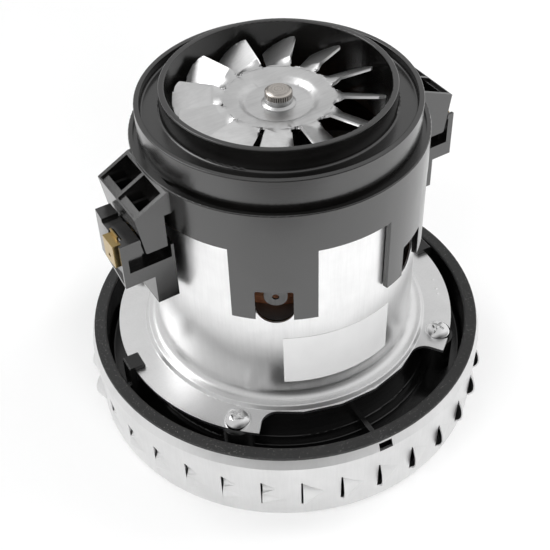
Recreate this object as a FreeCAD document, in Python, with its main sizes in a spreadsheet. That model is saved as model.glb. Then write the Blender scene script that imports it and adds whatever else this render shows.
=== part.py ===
"""Vacuum motor: a universal motor over a single-stage fan casing.

Millimetres, +Z up. The origin is on the shaft axis at the plane the fan casing rests on.
-Y is the side between the two front legs of the top cover, and the brush line lies
near X, turned by brush_turn about the shaft axis.
"""
import FreeCAD, Part
import math
import os
import re

import Sketcher

SIZES = {
    # fan casing: a pressed aluminium can, crimped in over the plastic housing
    "casing_radius": 73.2,
    "casing_foot_radius": 72.4,
    "casing_wall": 1.0,
    "casing_shoulder": 28.6,
    "crimp_radius": 71.8,
    "crimp_top": 32.2,
    "foot_round": 4.0,
    "eye_radius": 19.0,
    "eye_top": 4.2,
    "eye_dish_radius": 27.0,
    "eye_dish_height": 1.4,
    "louvre_count": 33,
    "louvre_low": 8.4,
    "louvre_high": 20.6,
    "louvre_slit": 0.55,
    "louvre_lip": 2.4,
    "louvre_low_lip": 0.9,
    "louvre_peak": 0.35,
    "louvre_skin": 0.5,
    "louvre_dent": 0.9,
    "louvre_dent_low": 14.6,
    "louvre_dent_length": 5.0,
    "louvre_dent_from": 265.0,
    "louvre_dent_to": 326.0,
    "louvre_length": 8.0,
    "louvre_turn": -2.7,
    "crimp_window_wide": 5.0,
    "crimp_window_low": 28.5,
    "crimp_window_tall": 2.9,
    "crimp_window_turn": -1.2,
    "crimp_window_count": 3,
    # diffuser housing: the black moulding inside the casing
    "housing_gap": 0.2,
    "rim_inner_radius": 67.5,
    "gasket_radius": 72.0,
    "gasket_thick": 1.3,
    "floor_top": 19.0,
    "floor_thick": 2.0,
    "floor_hole_radius": 10.0,
    "seat_inner_radius": 48.6,
    "seat_outer_radius": 51.6,
    "ledge_radius": 54.4,
    "ledge_height": 3.4,
    "step_radius": 57.0,
    "step_height": 1.6,
    "post_radius": 5.6,
    "rib_thick": 1.8,
    "rib_height": 6.0,
    "rib_count": 4,
    "vane_count": 17,
    "vane_inner_radius": 64.0,
    "vane_outer_radius": 70.0,
    "vane_thick": 1.3,
    "vane_sweep": 5.0,
    "vane_drop": 12.6,
    "hook_wide": 6.4,
    "hook_reach": 3.7,
    "hook_wall": 2.2,
    "hook_lip": 1.8,
    "hook_gap": 0.15,
    # motor frame: a drawn steel tube with a flange
    "frame_radius": 46.8,
    "frame_wall": 1.2,
    "frame_top": 104.0,
    "flange_radius": 62.5,
    "flange_top": 34.0,
    "bead_radius": 51.4,
    "bead_height": 1.5,
    "bead_run": 1.0,
    "neck_round": 3.4,
    "cutout_half_angle": 37.0,
    "cutout_radius": 52.8,
    "cutout_round": 5.5,
    "window_angle": 31.6,
    "window_radius": 6.4,
    "window_centre": 78.0,
    "window_top": 92.0,
    "screw_circle_radius": 58.3,
    "screw_angle": 45.0,
    "screw_radius": 2.4,
    "screw_play": 0.1,
    "screw_head_radius": 4.65,
    "screw_crown_radius": 2.9,
    "screw_cross_half": 2.4,
    "screw_cross_wide": 1.0,
    "screw_head_tall": 3.0,
    "screw_length": 11.0,
    "screw_recess": 1.3,
    "label_turn": -4.5,
    "label_half_angle": 24.5,
    "label_low": 43.0,
    "label_high": 64.3,
    "label_thick": 0.12,
    # bearing plate and ball bearings (608 size)
    "plate_thick": 1.4,
    "plate_play": 0.15,
    "cup_wall": 1.2,
    "cup_floor_hole": 7.2,
    "bearing_outer": 11.0,
    "bearing_bore": 4.0,
    "bearing_wide": 7.0,
    "bearing_low": 23.0,
    "bearing_high": 107.5,
    "bearing_seat_play": 0.02,
    "race_inner": 5.9,
    "race_outer": 9.1,
    "ball_radius": 1.98,
    "ball_count": 7,
    "ball_play": 0.05,
    "cage_inner": 7.0,
    "cage_outer": 8.0,
    "cage_half": 1.5,
    "shield_thick": 0.3,
    "shield_gap": 0.35,
    # top cover: the black moulding with skirt, legs, rings and brush hoods
    "skirt_radius": 49.0,
    "skirt_inner": 47.1,
    "skirt_low": 103.2,
    "skirt_top": 118.0,
    "leg_low": 75.0,
    "leg_angle": 31.8,
    "leg_half_angle": 16.4,
    "notch_half_wide": 6.1,
    "notch_top": 87.2,
    "ring_radius": 46.1,
    "ring_wall": 1.8,
    "ring_top": 128.6,
    "groove_wide": 1.4,
    "groove_deep": 1.2,
    "channel_floor": 125.6,
    "channel_thick": 2.0,
    "shroud_radius": 37.9,
    "shroud_wall": 2.0,
    "shroud_top": 133.4,
    "shroud_low": 108.0,
    "hub_wall": 2.6,
    "hub_lip": 8.2,
    "arm_count": 6,
    "arm_wide": 4.0,
    "arm_tall": 4.0,
    "brush_turn": 3.0,
    "hood_half_wide": 13.1,
    "hood_reach_left": 59.4,
    "hood_reach_right": 61.4,
    "hood_slope": 2.3,
    "hood_low": 97.3,
    "hood_outer_top": 111.9,
    "hood_inner_top": 117.6,
    "hood_wall": 1.4,
    "hood_floor": 99.2,
    "hood_ledge": 2.9,
    "hood_ledge_deep": 0.9,
    "hood_rim": 0.5,
    "hood_bar_start": 8.0,
    "hood_bar_wide": 1.2,
    "hood_bar_tall": 3.0,
    "hood_bar_top": 110.2,
    "hood_slot_reach": 49.7,
    "hood_slot_top": 109.5,
    # brush holders
    "holder_front": 13.1,
    "holder_back": 8.3,
    "holder_foot": 75.4,
    "holder_foot_reach": 55.3,
    "holder_low": 86.8,
    "holder_reach_left": 65.5,
    "holder_reach_right": 63.0,
    "holder_top": 103.9,
    "holder_inner_reach": 47.7,
    "holder_end_slope": 1.7,
    "holder_play": 0.4,
    "neck_wall": 1.4,
    "neck_play": 0.08,
    "holder_window_low": 92.4,
    "holder_window_ledge": 97.3,
    "holder_window_top": 102.2,
    "holder_window_side": 2.2,
    "holder_window_deep": 5.6,
    "holder_window_shallow": 2.8,
    "holder_panel_deep": 1.0,
    "holder_rim": 1.1,
    "holder_end_deep": 1.2,
    "holder_channel_low": -2.4,
    "holder_channel_high": 2.6,
    "holder_channel_deep": 1.2,
    "tube_height": 93.2,
    "tube_wall": 0.5,
    "tube_inner_end": 26.0,
    "tube_outer_end": 59.6,
    "tube_play": 0.1,
    "brush_wide": 6.4,
    "brush_tall": 9.0,
    "brush_play": 0.1,
    "brush_long": 26.0,
    "brush_gap": 0.3,
    "spring_radius": 2.6,
    "spring_wire": 0.35,
    "spring_turns": 8,
    "terminal_wide": 7.2,
    "terminal_offset": -6.1,
    "terminal_low": 93.6,
    "terminal_top": 102.2,
    "terminal_proud": 1.0,
    "terminal_deep": 3.2,
    "terminal_thick": 0.6,
    "terminal_hole": 0.7,
    # stator
    "core_low": 43.0,
    "core_high": 72.0,
    "core_play": 0.05,
    "yoke_inner": 38.6,
    "pole_back": 27.6,
    "stator_bore": 22.4,
    "pole_half": 14.0,
    "tip_gap": 12.0,
    "coil_play": 0.5,
    "coil_half_angle": 67.0,
    "coil_end": 9.6,
    "coil_round": 3.0,
    "tab_radius": 44.2,
    "tab_wide": 7.6,
    "tab_thick": 0.7,
    "tab_low": 76.9,
    "tab_hole": 1.1,
    "terminal_ring_low": 99.6,
    "terminal_ring_tall": 4.0,
    "terminal_ring_wall": 3.0,
    # armature
    "shaft_low": 5.4,
    "shaft_body_radius": 5.0,
    "shaft_top": 128.2,
    "shaft_end_radius": 3.0,
    "armature_radius": 21.8,
    "slot_count": 12,
    "slot_wide": 5.0,
    "slot_mouth": 2.0,
    "slot_depth": 11.0,
    "slot_bridge": 1.4,
    "end_sheet": 0.8,
    "winding_end": 7.6,
    "winding_round": 3.0,
    "winding_radius": 19.8,
    "coil_gap": 0.4,
    "winding_play": 0.25,
    "shaft_fit": 0.03,
    "commutator_low": 84.0,
    "commutator_high": 101.4,
    "commutator_radius": 13.4,
    "commutator_hub": 9.4,
    "bar_count": 24,
    "bar_gap": 0.5,
    "riser_radius": 15.0,
    "riser_tall": 2.2,
    # impeller
    "impeller_radius": 62.0,
    "impeller_top": 15.0,
    "impeller_plate": 1.0,
    "impeller_shroud_thick": 0.8,
    "impeller_eye_gap": 0.6,
    "impeller_eye_wall": 0.8,
    "impeller_eye_low": 3.0,
    "impeller_shroud_inner": 4.6,
    "impeller_shroud_outer": 7.0,
    "impeller_blade_count": 8,
    "impeller_blade_thick": 0.9,
    "impeller_blade_inner": 24.0,
    "impeller_blade_bow": 16.0,
    "impeller_washer_radius": 10.0,
    "impeller_washer_thick": 1.6,
    "impeller_nut_flats": 13.0,
    "impeller_nut_tall": 4.8,
    "impeller_spacer_radius": 7.0,
    # cooling fan
    "fan_plate_top": 124.4,
    "fan_thick": 0.9,
    "fan_flat_radius": 10.6,
    "fan_rim_radius": 18.2,
    "fan_rim_rise": 2.6,
    "fan_radius": 34.0,
    "fan_blade_count": 12,
    "fan_blade_turn": 1.0,
    "fan_blade_root": 8.3,
    "fan_blade_chord": 14.2,
    "fan_blade_pitch": 31.0,
    "fan_tip_drop": 0.7,
    "fan_tip_round": 3.6,
    "fan_relief_radius": 1.1,
    "fan_relief_place": 18.7,
    "fan_spacer_radius": 7.0,
    "fan_collar_radius": 4.4,
    "fan_collar_foot": 5.6,
    "fan_collar_foot_tall": 0.45,
    "fan_collar_flare_tall": 1.0,
    "fan_collar_tall": 2.7,
    "cap_radius": 4.45,
    "cap_top": 129.6,
    "cap_bevel": 1.1,
    "cap_bevel_tall": 0.75,
    "knurl_count": 38,
    "knurl_deep": 0.35,
    "knurl_tall": 1.8,
}

doc = FreeCAD.newDocument("vacuum_motor")
sheet = doc.addObject("Spreadsheet::Sheet", "dims")
for line, (alias, number) in enumerate(SIZES.items(), start=1):
    sheet.set(f"A{line}", alias)
    sheet.set(f"B{line}", str(number))
    sheet.setAlias(f"B{line}", alias)
doc.recompute()

ORIGIN = FreeCAD.Vector(0, 0, 0)
UP = FreeCAD.Vector(0, 0, 1)
pieces = []


def bound(text):
    """The expression with each size name pointed at the sheet."""
    return re.sub(r"[a-z][a-z_]+", lambda word: "dims." + word[0] if word[0] in SIZES else word[0], text)


def value(text):
    """The number that an expression gives now."""
    return float(sheet.evalExpression(bound(text)))


def vector(x, y, z=0.0):
    return FreeCAD.Vector(x, y, z)


def bind(thing, prop, text):
    """Tie one property to an expression of the driving sizes."""
    thing.setExpression(prop, bound(text))


# Sketches, drawn as closed outlines through corners (x, y) or (x, y, rounding)

def rounded_corner(before, corner, after, radius):
    """Tangent points and centre of the arc that rounds a corner."""
    into = (before - corner).normalize()
    out = (after - corner).normalize()
    half = into.getAngle(out) / 2
    reach = radius / math.tan(half)
    middle = (into + out).normalize()
    return corner + into * reach, corner + out * reach, corner + middle * (radius / math.sin(half))


def place_point(sketch, geometry, end, x_text, y_text):
    """Hold a sketch point at two expressions measured from the sketch's origin."""
    for kind, text, axis in (("DistanceX", x_text, -2), ("DistanceY", y_text, -1)):
        if text == "0":
            sketch.addConstraint(Sketcher.Constraint("PointOnObject", geometry, end, axis))
            continue
        index = sketch.addConstraint(Sketcher.Constraint(kind, -1, 1, geometry, end, value(text)))
        if re.search("[a-z]", text):
            name = f"{kind[-1].lower()}_{index}"
            sketch.renameConstraint(index, name)
            bind(sketch, "Constraints." + name, text)


def draw(sketch, corners):
    """One closed outline; rounded corners become arcs tangent to both sides."""
    spots = [vector(value(c[0]), value(c[1])) for c in corners]
    count = len(corners)
    arcs = {}
    for i, corner in enumerate(corners):
        if len(corner) == 3:
            arcs[i] = rounded_corner(spots[i - 1], spots[i], spots[(i + 1) % count], value(corner[2]))
    for i in range(count):
        start = arcs[i][1] if i in arcs else spots[i]
        after = (i + 1) % count
        end = arcs[after][0] if after in arcs else spots[after]
        sketch.addGeometry(Part.LineSegment(start, end))
    first = sketch.GeometryCount - count
    for i, corner in enumerate(corners):
        incoming = first + (i - 1) % count
        outgoing = first + i
        if i not in arcs:
            sketch.addConstraint(Sketcher.Constraint("Coincident", incoming, 2, outgoing, 1))
            place_point(sketch, outgoing, 1, corner[0], corner[1])
            continue
        enter, leave, centre = arcs[i]
        turns_left = (spots[i] - enter).cross(leave - spots[i]).z > 0
        begin, finish = (enter, leave) if turns_left else (leave, enter)
        circle = Part.Circle(centre, UP, (enter - centre).Length)
        angles = [math.atan2(p.y - centre.y, p.x - centre.x) for p in (begin, finish)]
        arc = sketch.addGeometry(Part.ArcOfCircle(circle, angles[0], angles[1]))
        ends = (1, 2) if turns_left else (2, 1)
        sketch.addConstraint(Sketcher.Constraint("Tangent", incoming, 2, arc, ends[0]))
        sketch.addConstraint(Sketcher.Constraint("Tangent", arc, ends[1], outgoing, 1))
        radius = sketch.addConstraint(Sketcher.Constraint("Radius", arc, circle.Radius))
        sketch.renameConstraint(radius, f"round_{radius}")
        bind(sketch, f"Constraints.round_{radius}", corner[2])
        point = sketch.addGeometry(Part.Point(spots[i]), True)
        sketch.addConstraint(Sketcher.Constraint("PointOnObject", point, 1, incoming))
        sketch.addConstraint(Sketcher.Constraint("PointOnObject", point, 1, outgoing))
        place_point(sketch, point, 1, corner[0], corner[1])


def draw_circle(sketch, x_text, y_text, radius_text):
    circle = Part.Circle(vector(value(x_text), value(y_text)), UP, value(radius_text))
    index = sketch.addGeometry(circle)
    place_point(sketch, index, 3, x_text, y_text)
    radius = sketch.addConstraint(Sketcher.Constraint("Radius", index, circle.Radius))
    sketch.renameConstraint(radius, f"round_{radius}")
    bind(sketch, f"Constraints.round_{radius}", radius_text)


def origin_plane(body, role):
    return [item for item in body.Origin.OriginFeatures if item.Role == role][0]


def sketch_in(body, name, role, outlines, offset="0", turn="0"):
    """A sketch on an origin plane, moved along its normal and turned about the shaft axis."""
    sketch = body.newObject("Sketcher::SketchObject", name)
    sketch.AttachmentSupport = (origin_plane(body, role), [""])
    sketch.MapMode = "FlatFace"
    axis = UP if role == "XY_Plane" else vector(0, 1)
    shift = FreeCAD.Rotation(axis, value(turn)).multVec(vector(0, 0, value(offset)))
    sketch.AttachmentOffset = FreeCAD.Placement(shift, FreeCAD.Rotation(axis, value(turn)))
    if role == "XY_Plane":
        bind(sketch, "AttachmentOffset.Base.z", offset)
    else:
        bind(sketch, "AttachmentOffset.Base.z", f"({offset}) * cos({turn})")
        bind(sketch, "AttachmentOffset.Base.x", f"({offset}) * sin({turn})")
    bind(sketch, "AttachmentOffset.Rotation.Angle", turn)
    for outline in outlines:
        if len(outline) == 3 and isinstance(outline[0], str):
            draw_circle(sketch, *outline)
        else:
            draw(sketch, outline)
    return sketch


# Body features

def new_body(label):
    body = doc.addObject("PartDesign::Body", label)
    body.Label = label
    pieces.append(body)
    return body


def turned(body, name, corners, kind="PartDesign::Revolution"):
    """Revolve an outline of (radius, height) corners about the shaft axis."""
    sketch = sketch_in(body, name + "_outline", "XZ_Plane", [corners])
    feature = body.newObject(kind, name)
    feature.Profile = sketch
    feature.ReferenceAxis = (sketch, ["V_Axis"])
    feature.Angle = 360
    return feature


def ring_corners(inner, outer, low, high):
    return [(inner, low), (outer, low), (outer, high), (inner, high)]


def extruded(body, name, kind, sketch, length, reverse=False):
    feature = body.newObject(kind, name)
    feature.Profile = sketch
    bind(feature, "Length", length)
    feature.Reversed = reverse
    return feature


def around(body, name, originals, count):
    """Repeat features evenly around the shaft axis."""
    pattern = body.newObject("PartDesign::PolarPattern", name)
    pattern.Originals = originals
    pattern.Axis = (origin_plane(body, "Z_Axis"), [""])
    pattern.Angle = 360
    bind(pattern, "Occurrences", count)
    body.Tip = pattern
    return pattern


def made(label, shape, turn="0"):
    """A sub-part whose shape is worked out here; it is placed after its shape is set."""
    feature = doc.addObject("Part::Feature", label)
    feature.Label = label
    feature.Shape = shape
    feature.Placement = FreeCAD.Placement(ORIGIN, FreeCAD.Rotation(UP, value(turn)))
    pieces.append(feature)
    return feature


def box(x_low, x_high, y_low, y_high, z_low, z_high):
    return Part.makeBox(x_high - x_low, y_high - y_low, z_high - z_low, vector(x_low, y_low, z_low))


def tube(inner, outer, low, high):
    solid = Part.makeCylinder(outer, high - low, vector(0, 0, low))
    return solid.cut(Part.makeCylinder(inner, high - low, vector(0, 0, low)))


def copies_around(shape, count, first=0.0):
    """Copies of a shape, evenly spaced about the shaft axis."""
    made_copies = []
    for i in range(count):
        copy = shape.copy()
        copy.rotate(ORIGIN, UP, first + i * 360.0 / count)
        made_copies.append(copy)
    return made_copies


def polygon_prism(points, height):
    """A straight prism on a flat closed polygon."""
    wire = Part.makePolygon(points + [points[0]])
    return Part.Face(wire).extrude(vector(0, 0, height))


# Fan casing and diffuser housing

def half_cone(inner, foot, lip, low, high, tip):
    """A cone on a D-shaped mouth in the radial plane: straight at inner, swelling from foot to lip."""
    peak = low + (high - low) * value("louvre_peak")

    def spot(radius, height):
        return vector(0, -radius, height)

    def swell(end):
        """The arc from one end of the mouth to its peak, where it runs upright."""
        out, tall = lip - foot, end - peak
        bend = (out ** 2 + tall ** 2) / (2 * abs(out))
        half_way = math.asin(tall / bend) / 2
        back = math.copysign(bend * (1 - math.cos(half_way)), out)
        middle = spot(lip - back, peak + bend * math.sin(half_way))
        return Part.Arc(spot(foot, end), middle, spot(lip, peak)).toShape()

    mouth = Part.Wire([
        Part.LineSegment(spot(inner, low), spot(foot, low)).toShape(),
        swell(low),
        swell(high),
        Part.LineSegment(spot(foot, high), spot(inner, high)).toShape(),
        Part.LineSegment(spot(inner, high), spot(inner, low)).toShape(),
    ])
    return Part.makeLoft([mouth, Part.Vertex(tip)], True, True)


def louvre(pressed_in):
    """What one louvre adds and what it cuts away; the upper part of a pressed-in one is dented inwards."""
    wall = value("casing_wall")
    skin = value("louvre_skin")
    radius = value("(casing_foot_radius + casing_radius) / 2")
    low = value("louvre_low")
    high = value("louvre_high")
    top = value("louvre_dent_low") if pressed_in else high
    lip = radius + value("louvre_low_lip" if pressed_in else "louvre_lip")
    tip = vector(value("louvre_length"), skin - radius, (low + top) / 2)
    added = [half_cone(radius - skin, radius, lip, low, top, tip)]
    removed = [
        half_cone(radius - 1.5 * wall, radius - skin, lip - skin, low + skin, top - skin,
                  tip + vector(-2 * skin, skin)),
        box(-value("louvre_slit"), 0, -radius - 2 * wall, -radius + 2 * wall, low, high),
    ]
    if pressed_in:
        dent = radius - value("louvre_dent")
        tip = vector(value("louvre_dent_length"), -radius, (top + high) / 2)
        added.append(half_cone(radius - skin, radius - wall, dent - skin, top - skin, high + skin,
                               tip + vector(2 * skin, skin)))
        removed.append(half_cone(radius + wall, radius, dent, top, high, tip))
    return added, removed


def fan_casing():
    wall = "casing_wall"
    blank = doc.addObject("PartDesign::Body", "casing_blank")
    turned(blank, "casing_can", [
        ("eye_radius", "eye_dish_height"),
        ("eye_dish_radius", "eye_dish_height"),
        ("eye_dish_radius + 2 * eye_dish_height", "0"),
        ("casing_foot_radius", "0", "foot_round"),
        ("casing_radius", "casing_shoulder"),
        ("crimp_radius", "crimp_top"),
        (f"crimp_radius - {wall}", "crimp_top"),
        (f"casing_radius - {wall}", "casing_shoulder - 0.3"),
        (f"casing_foot_radius - {wall}", wall, f"foot_round - {wall}"),
        (f"eye_dish_radius + 2 * eye_dish_height + 0.4 * {wall}", wall),
        (f"eye_dish_radius + 0.4 * {wall}", f"eye_dish_height + {wall}"),
        (f"eye_radius + {wall}", f"eye_dish_height + {wall}"),
        (f"eye_radius + {wall}", "eye_top"),
        ("eye_radius", "eye_top"),
    ])
    window = sketch_in(blank, "crimp_window_view", "XZ_Plane", [[
        ("-crimp_window_wide / 2", "crimp_window_low"),
        ("crimp_window_wide / 2", "crimp_window_low"),
        ("crimp_window_wide / 2", "crimp_window_low + crimp_window_tall"),
        ("-crimp_window_wide / 2", "crimp_window_low + crimp_window_tall"),
    ]], turn="crimp_window_turn")
    windows = extruded(blank, "crimp_window", "PartDesign::Pocket", window, "casing_radius + 5", reverse=True)
    around(blank, "crimp_windows", [windows], "crimp_window_count")
    doc.recompute()
    count = int(value("louvre_count"))
    added, removed = [], []
    for i in range(count):
        angle = value("louvre_turn") + i * 360.0 / count
        pressed_in = value("louvre_dent_from") < angle < value("louvre_dent_to")
        for shapes, group in zip(louvre(pressed_in), (added, removed)):
            for shape in shapes:
                shape.rotate(ORIGIN, UP, angle)
                group.append(shape)
    made("fan_casing", blank.Shape.Solids[0].fuse(added).cut(removed))


def diffuser_housing():
    body = new_body("diffuser_housing")
    outer = "crimp_radius - casing_wall - housing_gap"
    flange_low = "flange_top - frame_wall"
    turned(body, "housing_shell", [
        ("floor_hole_radius", "floor_top - floor_thick"),
        (outer, "floor_top - floor_thick"),
        (outer, "crimp_top"),
        ("rim_inner_radius", "crimp_top"),
        ("rim_inner_radius", "floor_top", "1.5"),
        ("step_radius", "floor_top"),
        ("step_radius", "floor_top + step_height", "0.6"),
        ("ledge_radius", "floor_top + step_height"),
        ("ledge_radius", "floor_top + ledge_height", "0.6"),
        ("seat_outer_radius", "floor_top + ledge_height"),
        ("seat_outer_radius", flange_low),
        ("seat_outer_radius - 1.2", flange_low),
        ("seat_outer_radius - 1.2", f"{flange_low} - plate_thick"),
        ("seat_inner_radius", f"{flange_low} - plate_thick"),
        ("seat_inner_radius", "floor_top"),
        ("floor_hole_radius", "floor_top"),
    ])
    post = sketch_in(body, "post_plan", "XY_Plane", [("0", "-screw_circle_radius", "post_radius")],
                     offset="floor_top - 0.5", turn="screw_angle")
    posts = extruded(body, "screw_post", "PartDesign::Pad", post, f"{flange_low} - floor_top + 0.5")
    hole = sketch_in(body, "post_hole_plan", "XY_Plane",
                     [("0", "-screw_circle_radius", "screw_radius + screw_play")],
                     offset=flange_low, turn="screw_angle")
    holes = extruded(body, "post_hole", "PartDesign::Pocket", hole, "screw_length + 0.4 - frame_wall")
    around(body, "screw_posts", [posts, holes], "4")
    rib = sketch_in(body, "rib_plan", "XY_Plane", [[
        ("-rib_thick / 2", "-rim_inner_radius - 0.5"),
        ("rib_thick / 2", "-rim_inner_radius - 0.5"),
        ("rib_thick / 2", "-seat_outer_radius + 0.5"),
        ("-rib_thick / 2", "-seat_outer_radius + 0.5"),
    ]], offset="floor_top - 0.5")
    ribs = extruded(body, "floor_rib", "PartDesign::Pad", rib, "rib_height + 0.5")
    around(body, "floor_ribs", [ribs], "rib_count")
    hook = sketch_in(body, "hook_view", "XZ_Plane", [[
        ("flange_radius + hook_gap", "floor_top - 0.5"),
        ("flange_radius + hook_gap + hook_wall", "floor_top - 0.5"),
        ("flange_radius + hook_gap + hook_wall", "flange_top + hook_gap + hook_lip", "0.6"),
        ("flange_radius - hook_reach", "flange_top + hook_gap + hook_lip", "0.6"),
        ("flange_radius - hook_reach", "flange_top + hook_gap"),
        ("flange_radius + hook_gap", "flange_top + hook_gap"),
    ]], offset="-hook_wide / 2")
    hooks = extruded(body, "flange_hook", "PartDesign::Pad", hook, "hook_wide")
    around(body, "flange_hooks", [hooks], "2")
    vane = sketch_in(body, "vane_plan", "XY_Plane", [[
        ("vane_inner_radius", "0"),
        ("vane_outer_radius", "-vane_sweep"),
        ("vane_outer_radius", "-vane_sweep + vane_thick"),
        ("vane_inner_radius", "vane_thick"),
    ]], offset="floor_top - floor_thick + 0.4")
    vanes = extruded(body, "guide_vane", "PartDesign::Pad", vane, "vane_drop + 0.4", reverse=True)
    around(body, "guide_vanes", [vanes], "vane_count")


def rim_gasket():
    body = new_body("rim_gasket")
    turned(body, "gasket_ring", [
        ("rim_inner_radius", "crimp_top"),
        ("gasket_radius", "crimp_top"),
        ("gasket_radius", "crimp_top + gasket_thick", "0.35"),
        ("rim_inner_radius + 0.5", "crimp_top + gasket_thick"),
        ("rim_inner_radius", "crimp_top + gasket_thick - 0.4"),
    ])


# Motor frame, its screws, the label and the bearing plate

def motor_frame():
    body = new_body("motor_frame")
    wall = "frame_wall"
    crest = "flange_top + bead_height"
    turned(body, "frame_tube", [
        ("frame_radius", "frame_top"),
        ("frame_radius", crest, "neck_round"),
        ("bead_radius", crest, "0.7"),
        ("bead_radius + bead_run", "flange_top", "0.5"),
        ("flange_radius", "flange_top"),
        ("flange_radius", f"flange_top - {wall}"),
        (f"bead_radius + bead_run - {wall} / 2", f"flange_top - {wall}"),
        (f"bead_radius - {wall} / 2", f"{crest} - {wall}"),
        (f"frame_radius - {wall}", f"{crest} - {wall}", "neck_round"),
        (f"frame_radius - {wall}", "frame_top"),
    ])
    half = "cutout_half_angle"
    far = "(flange_radius + 4)"
    near = "cutout_radius"
    cut = sketch_in(body, "cutout_plan", "XY_Plane", [[
        (f"-{far} * sin({half})", f"-{far} * cos({half})"),
        (f"-{near} * sin({half})", f"-{near} * cos({half})", "cutout_round"),
        (f"-{near} / cos(7) * sin({half} * 0.6)", f"-{near} / cos(7) * cos({half} * 0.6)"),
        (f"-{near} / cos(7) * sin({half} * 0.2)", f"-{near} / cos(7) * cos({half} * 0.2)"),
        (f"{near} / cos(7) * sin({half} * 0.2)", f"-{near} / cos(7) * cos({half} * 0.2)"),
        (f"{near} / cos(7) * sin({half} * 0.6)", f"-{near} / cos(7) * cos({half} * 0.6)"),
        (f"{near} * sin({half})", f"-{near} * cos({half})", "cutout_round"),
        (f"{far} * sin({half})", f"-{far} * cos({half})"),
        ("0", f"-{far} * 1.5"),
    ]], offset="flange_top + 0.1")
    cuts = extruded(body, "flange_cutout", "PartDesign::Pocket", cut, f"{wall} + 0.2")
    around(body, "flange_cutouts", [cuts], "2")
    for side, angle in enumerate(("-window_angle", "window_angle")):
        view = sketch_in(body, f"coil_window_view_{side}", "XZ_Plane", [[
            ("-window_radius", "window_centre - window_radius", "window_radius * 0.98"),
            ("window_radius", "window_centre - window_radius", "window_radius * 0.98"),
            ("window_radius", "window_top"),
            ("-window_radius", "window_top"),
        ]], turn=angle)
        pocket = extruded(body, f"coil_window_{side}", "PartDesign::Pocket", view, "frame_radius + 5", True)
        around(body, f"coil_windows_{side}", [pocket], "2")
    slot_half = "brush_wide / 2 + brush_play + tube_wall + tube_play + neck_wall + neck_play"
    slot = sketch_in(body, "brush_slot_plan", "XY_Plane", [[
        ("0", f"-({slot_half})"),
        ("frame_radius + 5", f"-({slot_half})"),
        ("frame_radius + 5", slot_half),
        ("0", slot_half),
    ]], offset="frame_top + 1", turn="brush_turn")
    slots = extruded(body, "brush_slot", "PartDesign::Pocket", slot,
                     "frame_top + 1 - tube_height + brush_tall / 2 + brush_play + tube_wall + tube_play"
                     " + neck_wall + neck_play")
    around(body, "brush_slots", [slots], "2")
    hole = sketch_in(body, "flange_hole_plan", "XY_Plane",
                     [("0", "-screw_circle_radius", "screw_radius + screw_play")],
                     offset="flange_top + 1", turn="screw_angle")
    holes = extruded(body, "flange_hole", "PartDesign::Pocket", hole, f"{wall} + 2")
    around(body, "flange_holes", [holes], "4")


def pan_head_screw():
    """One pan-head screw standing on the flange's height, with a cross recess."""
    head = value("screw_head_radius")
    tall = value("screw_head_tall")
    length = value("screw_length")
    cross = value("screw_cross_half")
    half = value("screw_cross_wide / 2")
    edge = vector(head, 0, tall * 0.3)
    crown = vector(value("screw_crown_radius"), 0, tall * 0.9)
    top = vector(0, 0, tall)
    face = Part.Wire([
        Part.LineSegment(ORIGIN, vector(head, 0)).toShape(),
        Part.LineSegment(vector(head, 0), edge).toShape(),
        Part.Arc(edge, crown, top).toShape(),
        Part.LineSegment(top, ORIGIN).toShape(),
    ])
    solid = Part.Face(face).revolve(ORIGIN, UP, 360)
    solid = solid.fuse(Part.makeCylinder(value("screw_radius"), length, vector(0, 0, -length)))
    for turn in (0, 90):
        arm = box(-cross, cross, -half, half, tall - value("screw_recess"), tall + 1)
        arm.rotate(ORIGIN, UP, turn)
        solid = solid.cut(arm)
    solid.translate(vector(0, 0, value("flange_top")))
    return solid


def frame_screws():
    screw = pan_head_screw()
    placed = []
    for i in range(4):
        copy = screw.copy()
        copy.rotate(ORIGIN, UP, 23 + 31 * i)
        angle = math.radians(-90 + value("screw_angle") + 90 * i)
        radius = value("screw_circle_radius")
        copy.translate(vector(radius * math.cos(angle), radius * math.sin(angle)))
        placed.append(copy)
    made("frame_screws", Part.makeCompound(placed))


def rating_label():
    """A thin bare label that follows the frame's curve."""
    radius = value("frame_radius + 0.02")
    low = value("label_low")
    sheet_ring = tube(radius, radius + value("label_thick"), low, value("label_high"))
    half = math.radians(value("label_half_angle"))
    far = radius * 2
    wedge = polygon_prism([
        vector(0, 0, low - 1),
        vector(-far * math.sin(half), -far * math.cos(half), low - 1),
        vector(far * math.sin(half), -far * math.cos(half), low - 1),
    ], value("label_high - label_low + 2"))
    made("rating_label", sheet_ring.common(wedge), turn="label_turn")


def bearing_plate():
    body = new_body("bearing_plate")
    top = "flange_top - frame_wall"
    cup = "bearing_outer + bearing_seat_play"
    turned(body, "plate_and_cup", [
        (cup, top),
        ("seat_outer_radius - 1.2 - plate_play", top),
        ("seat_outer_radius - 1.2 - plate_play", f"{top} - plate_thick"),
        (f"{cup} + cup_wall", f"{top} - plate_thick", "1"),
        (f"{cup} + cup_wall", "bearing_low - cup_wall", "1"),
        ("cup_floor_hole", "bearing_low - cup_wall"),
        ("cup_floor_hole", "bearing_low"),
        (cup, "bearing_low"),
    ])
    vent = sketch_in(body, "vent_plan", "XY_Plane", [("0", "-30", "7")], offset=f"{top} + 1")
    vents = extruded(body, "vent", "PartDesign::Pocket", vent, "plate_thick + 2")
    around(body, "vents", [vents], "6")


# Ball bearings

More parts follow.
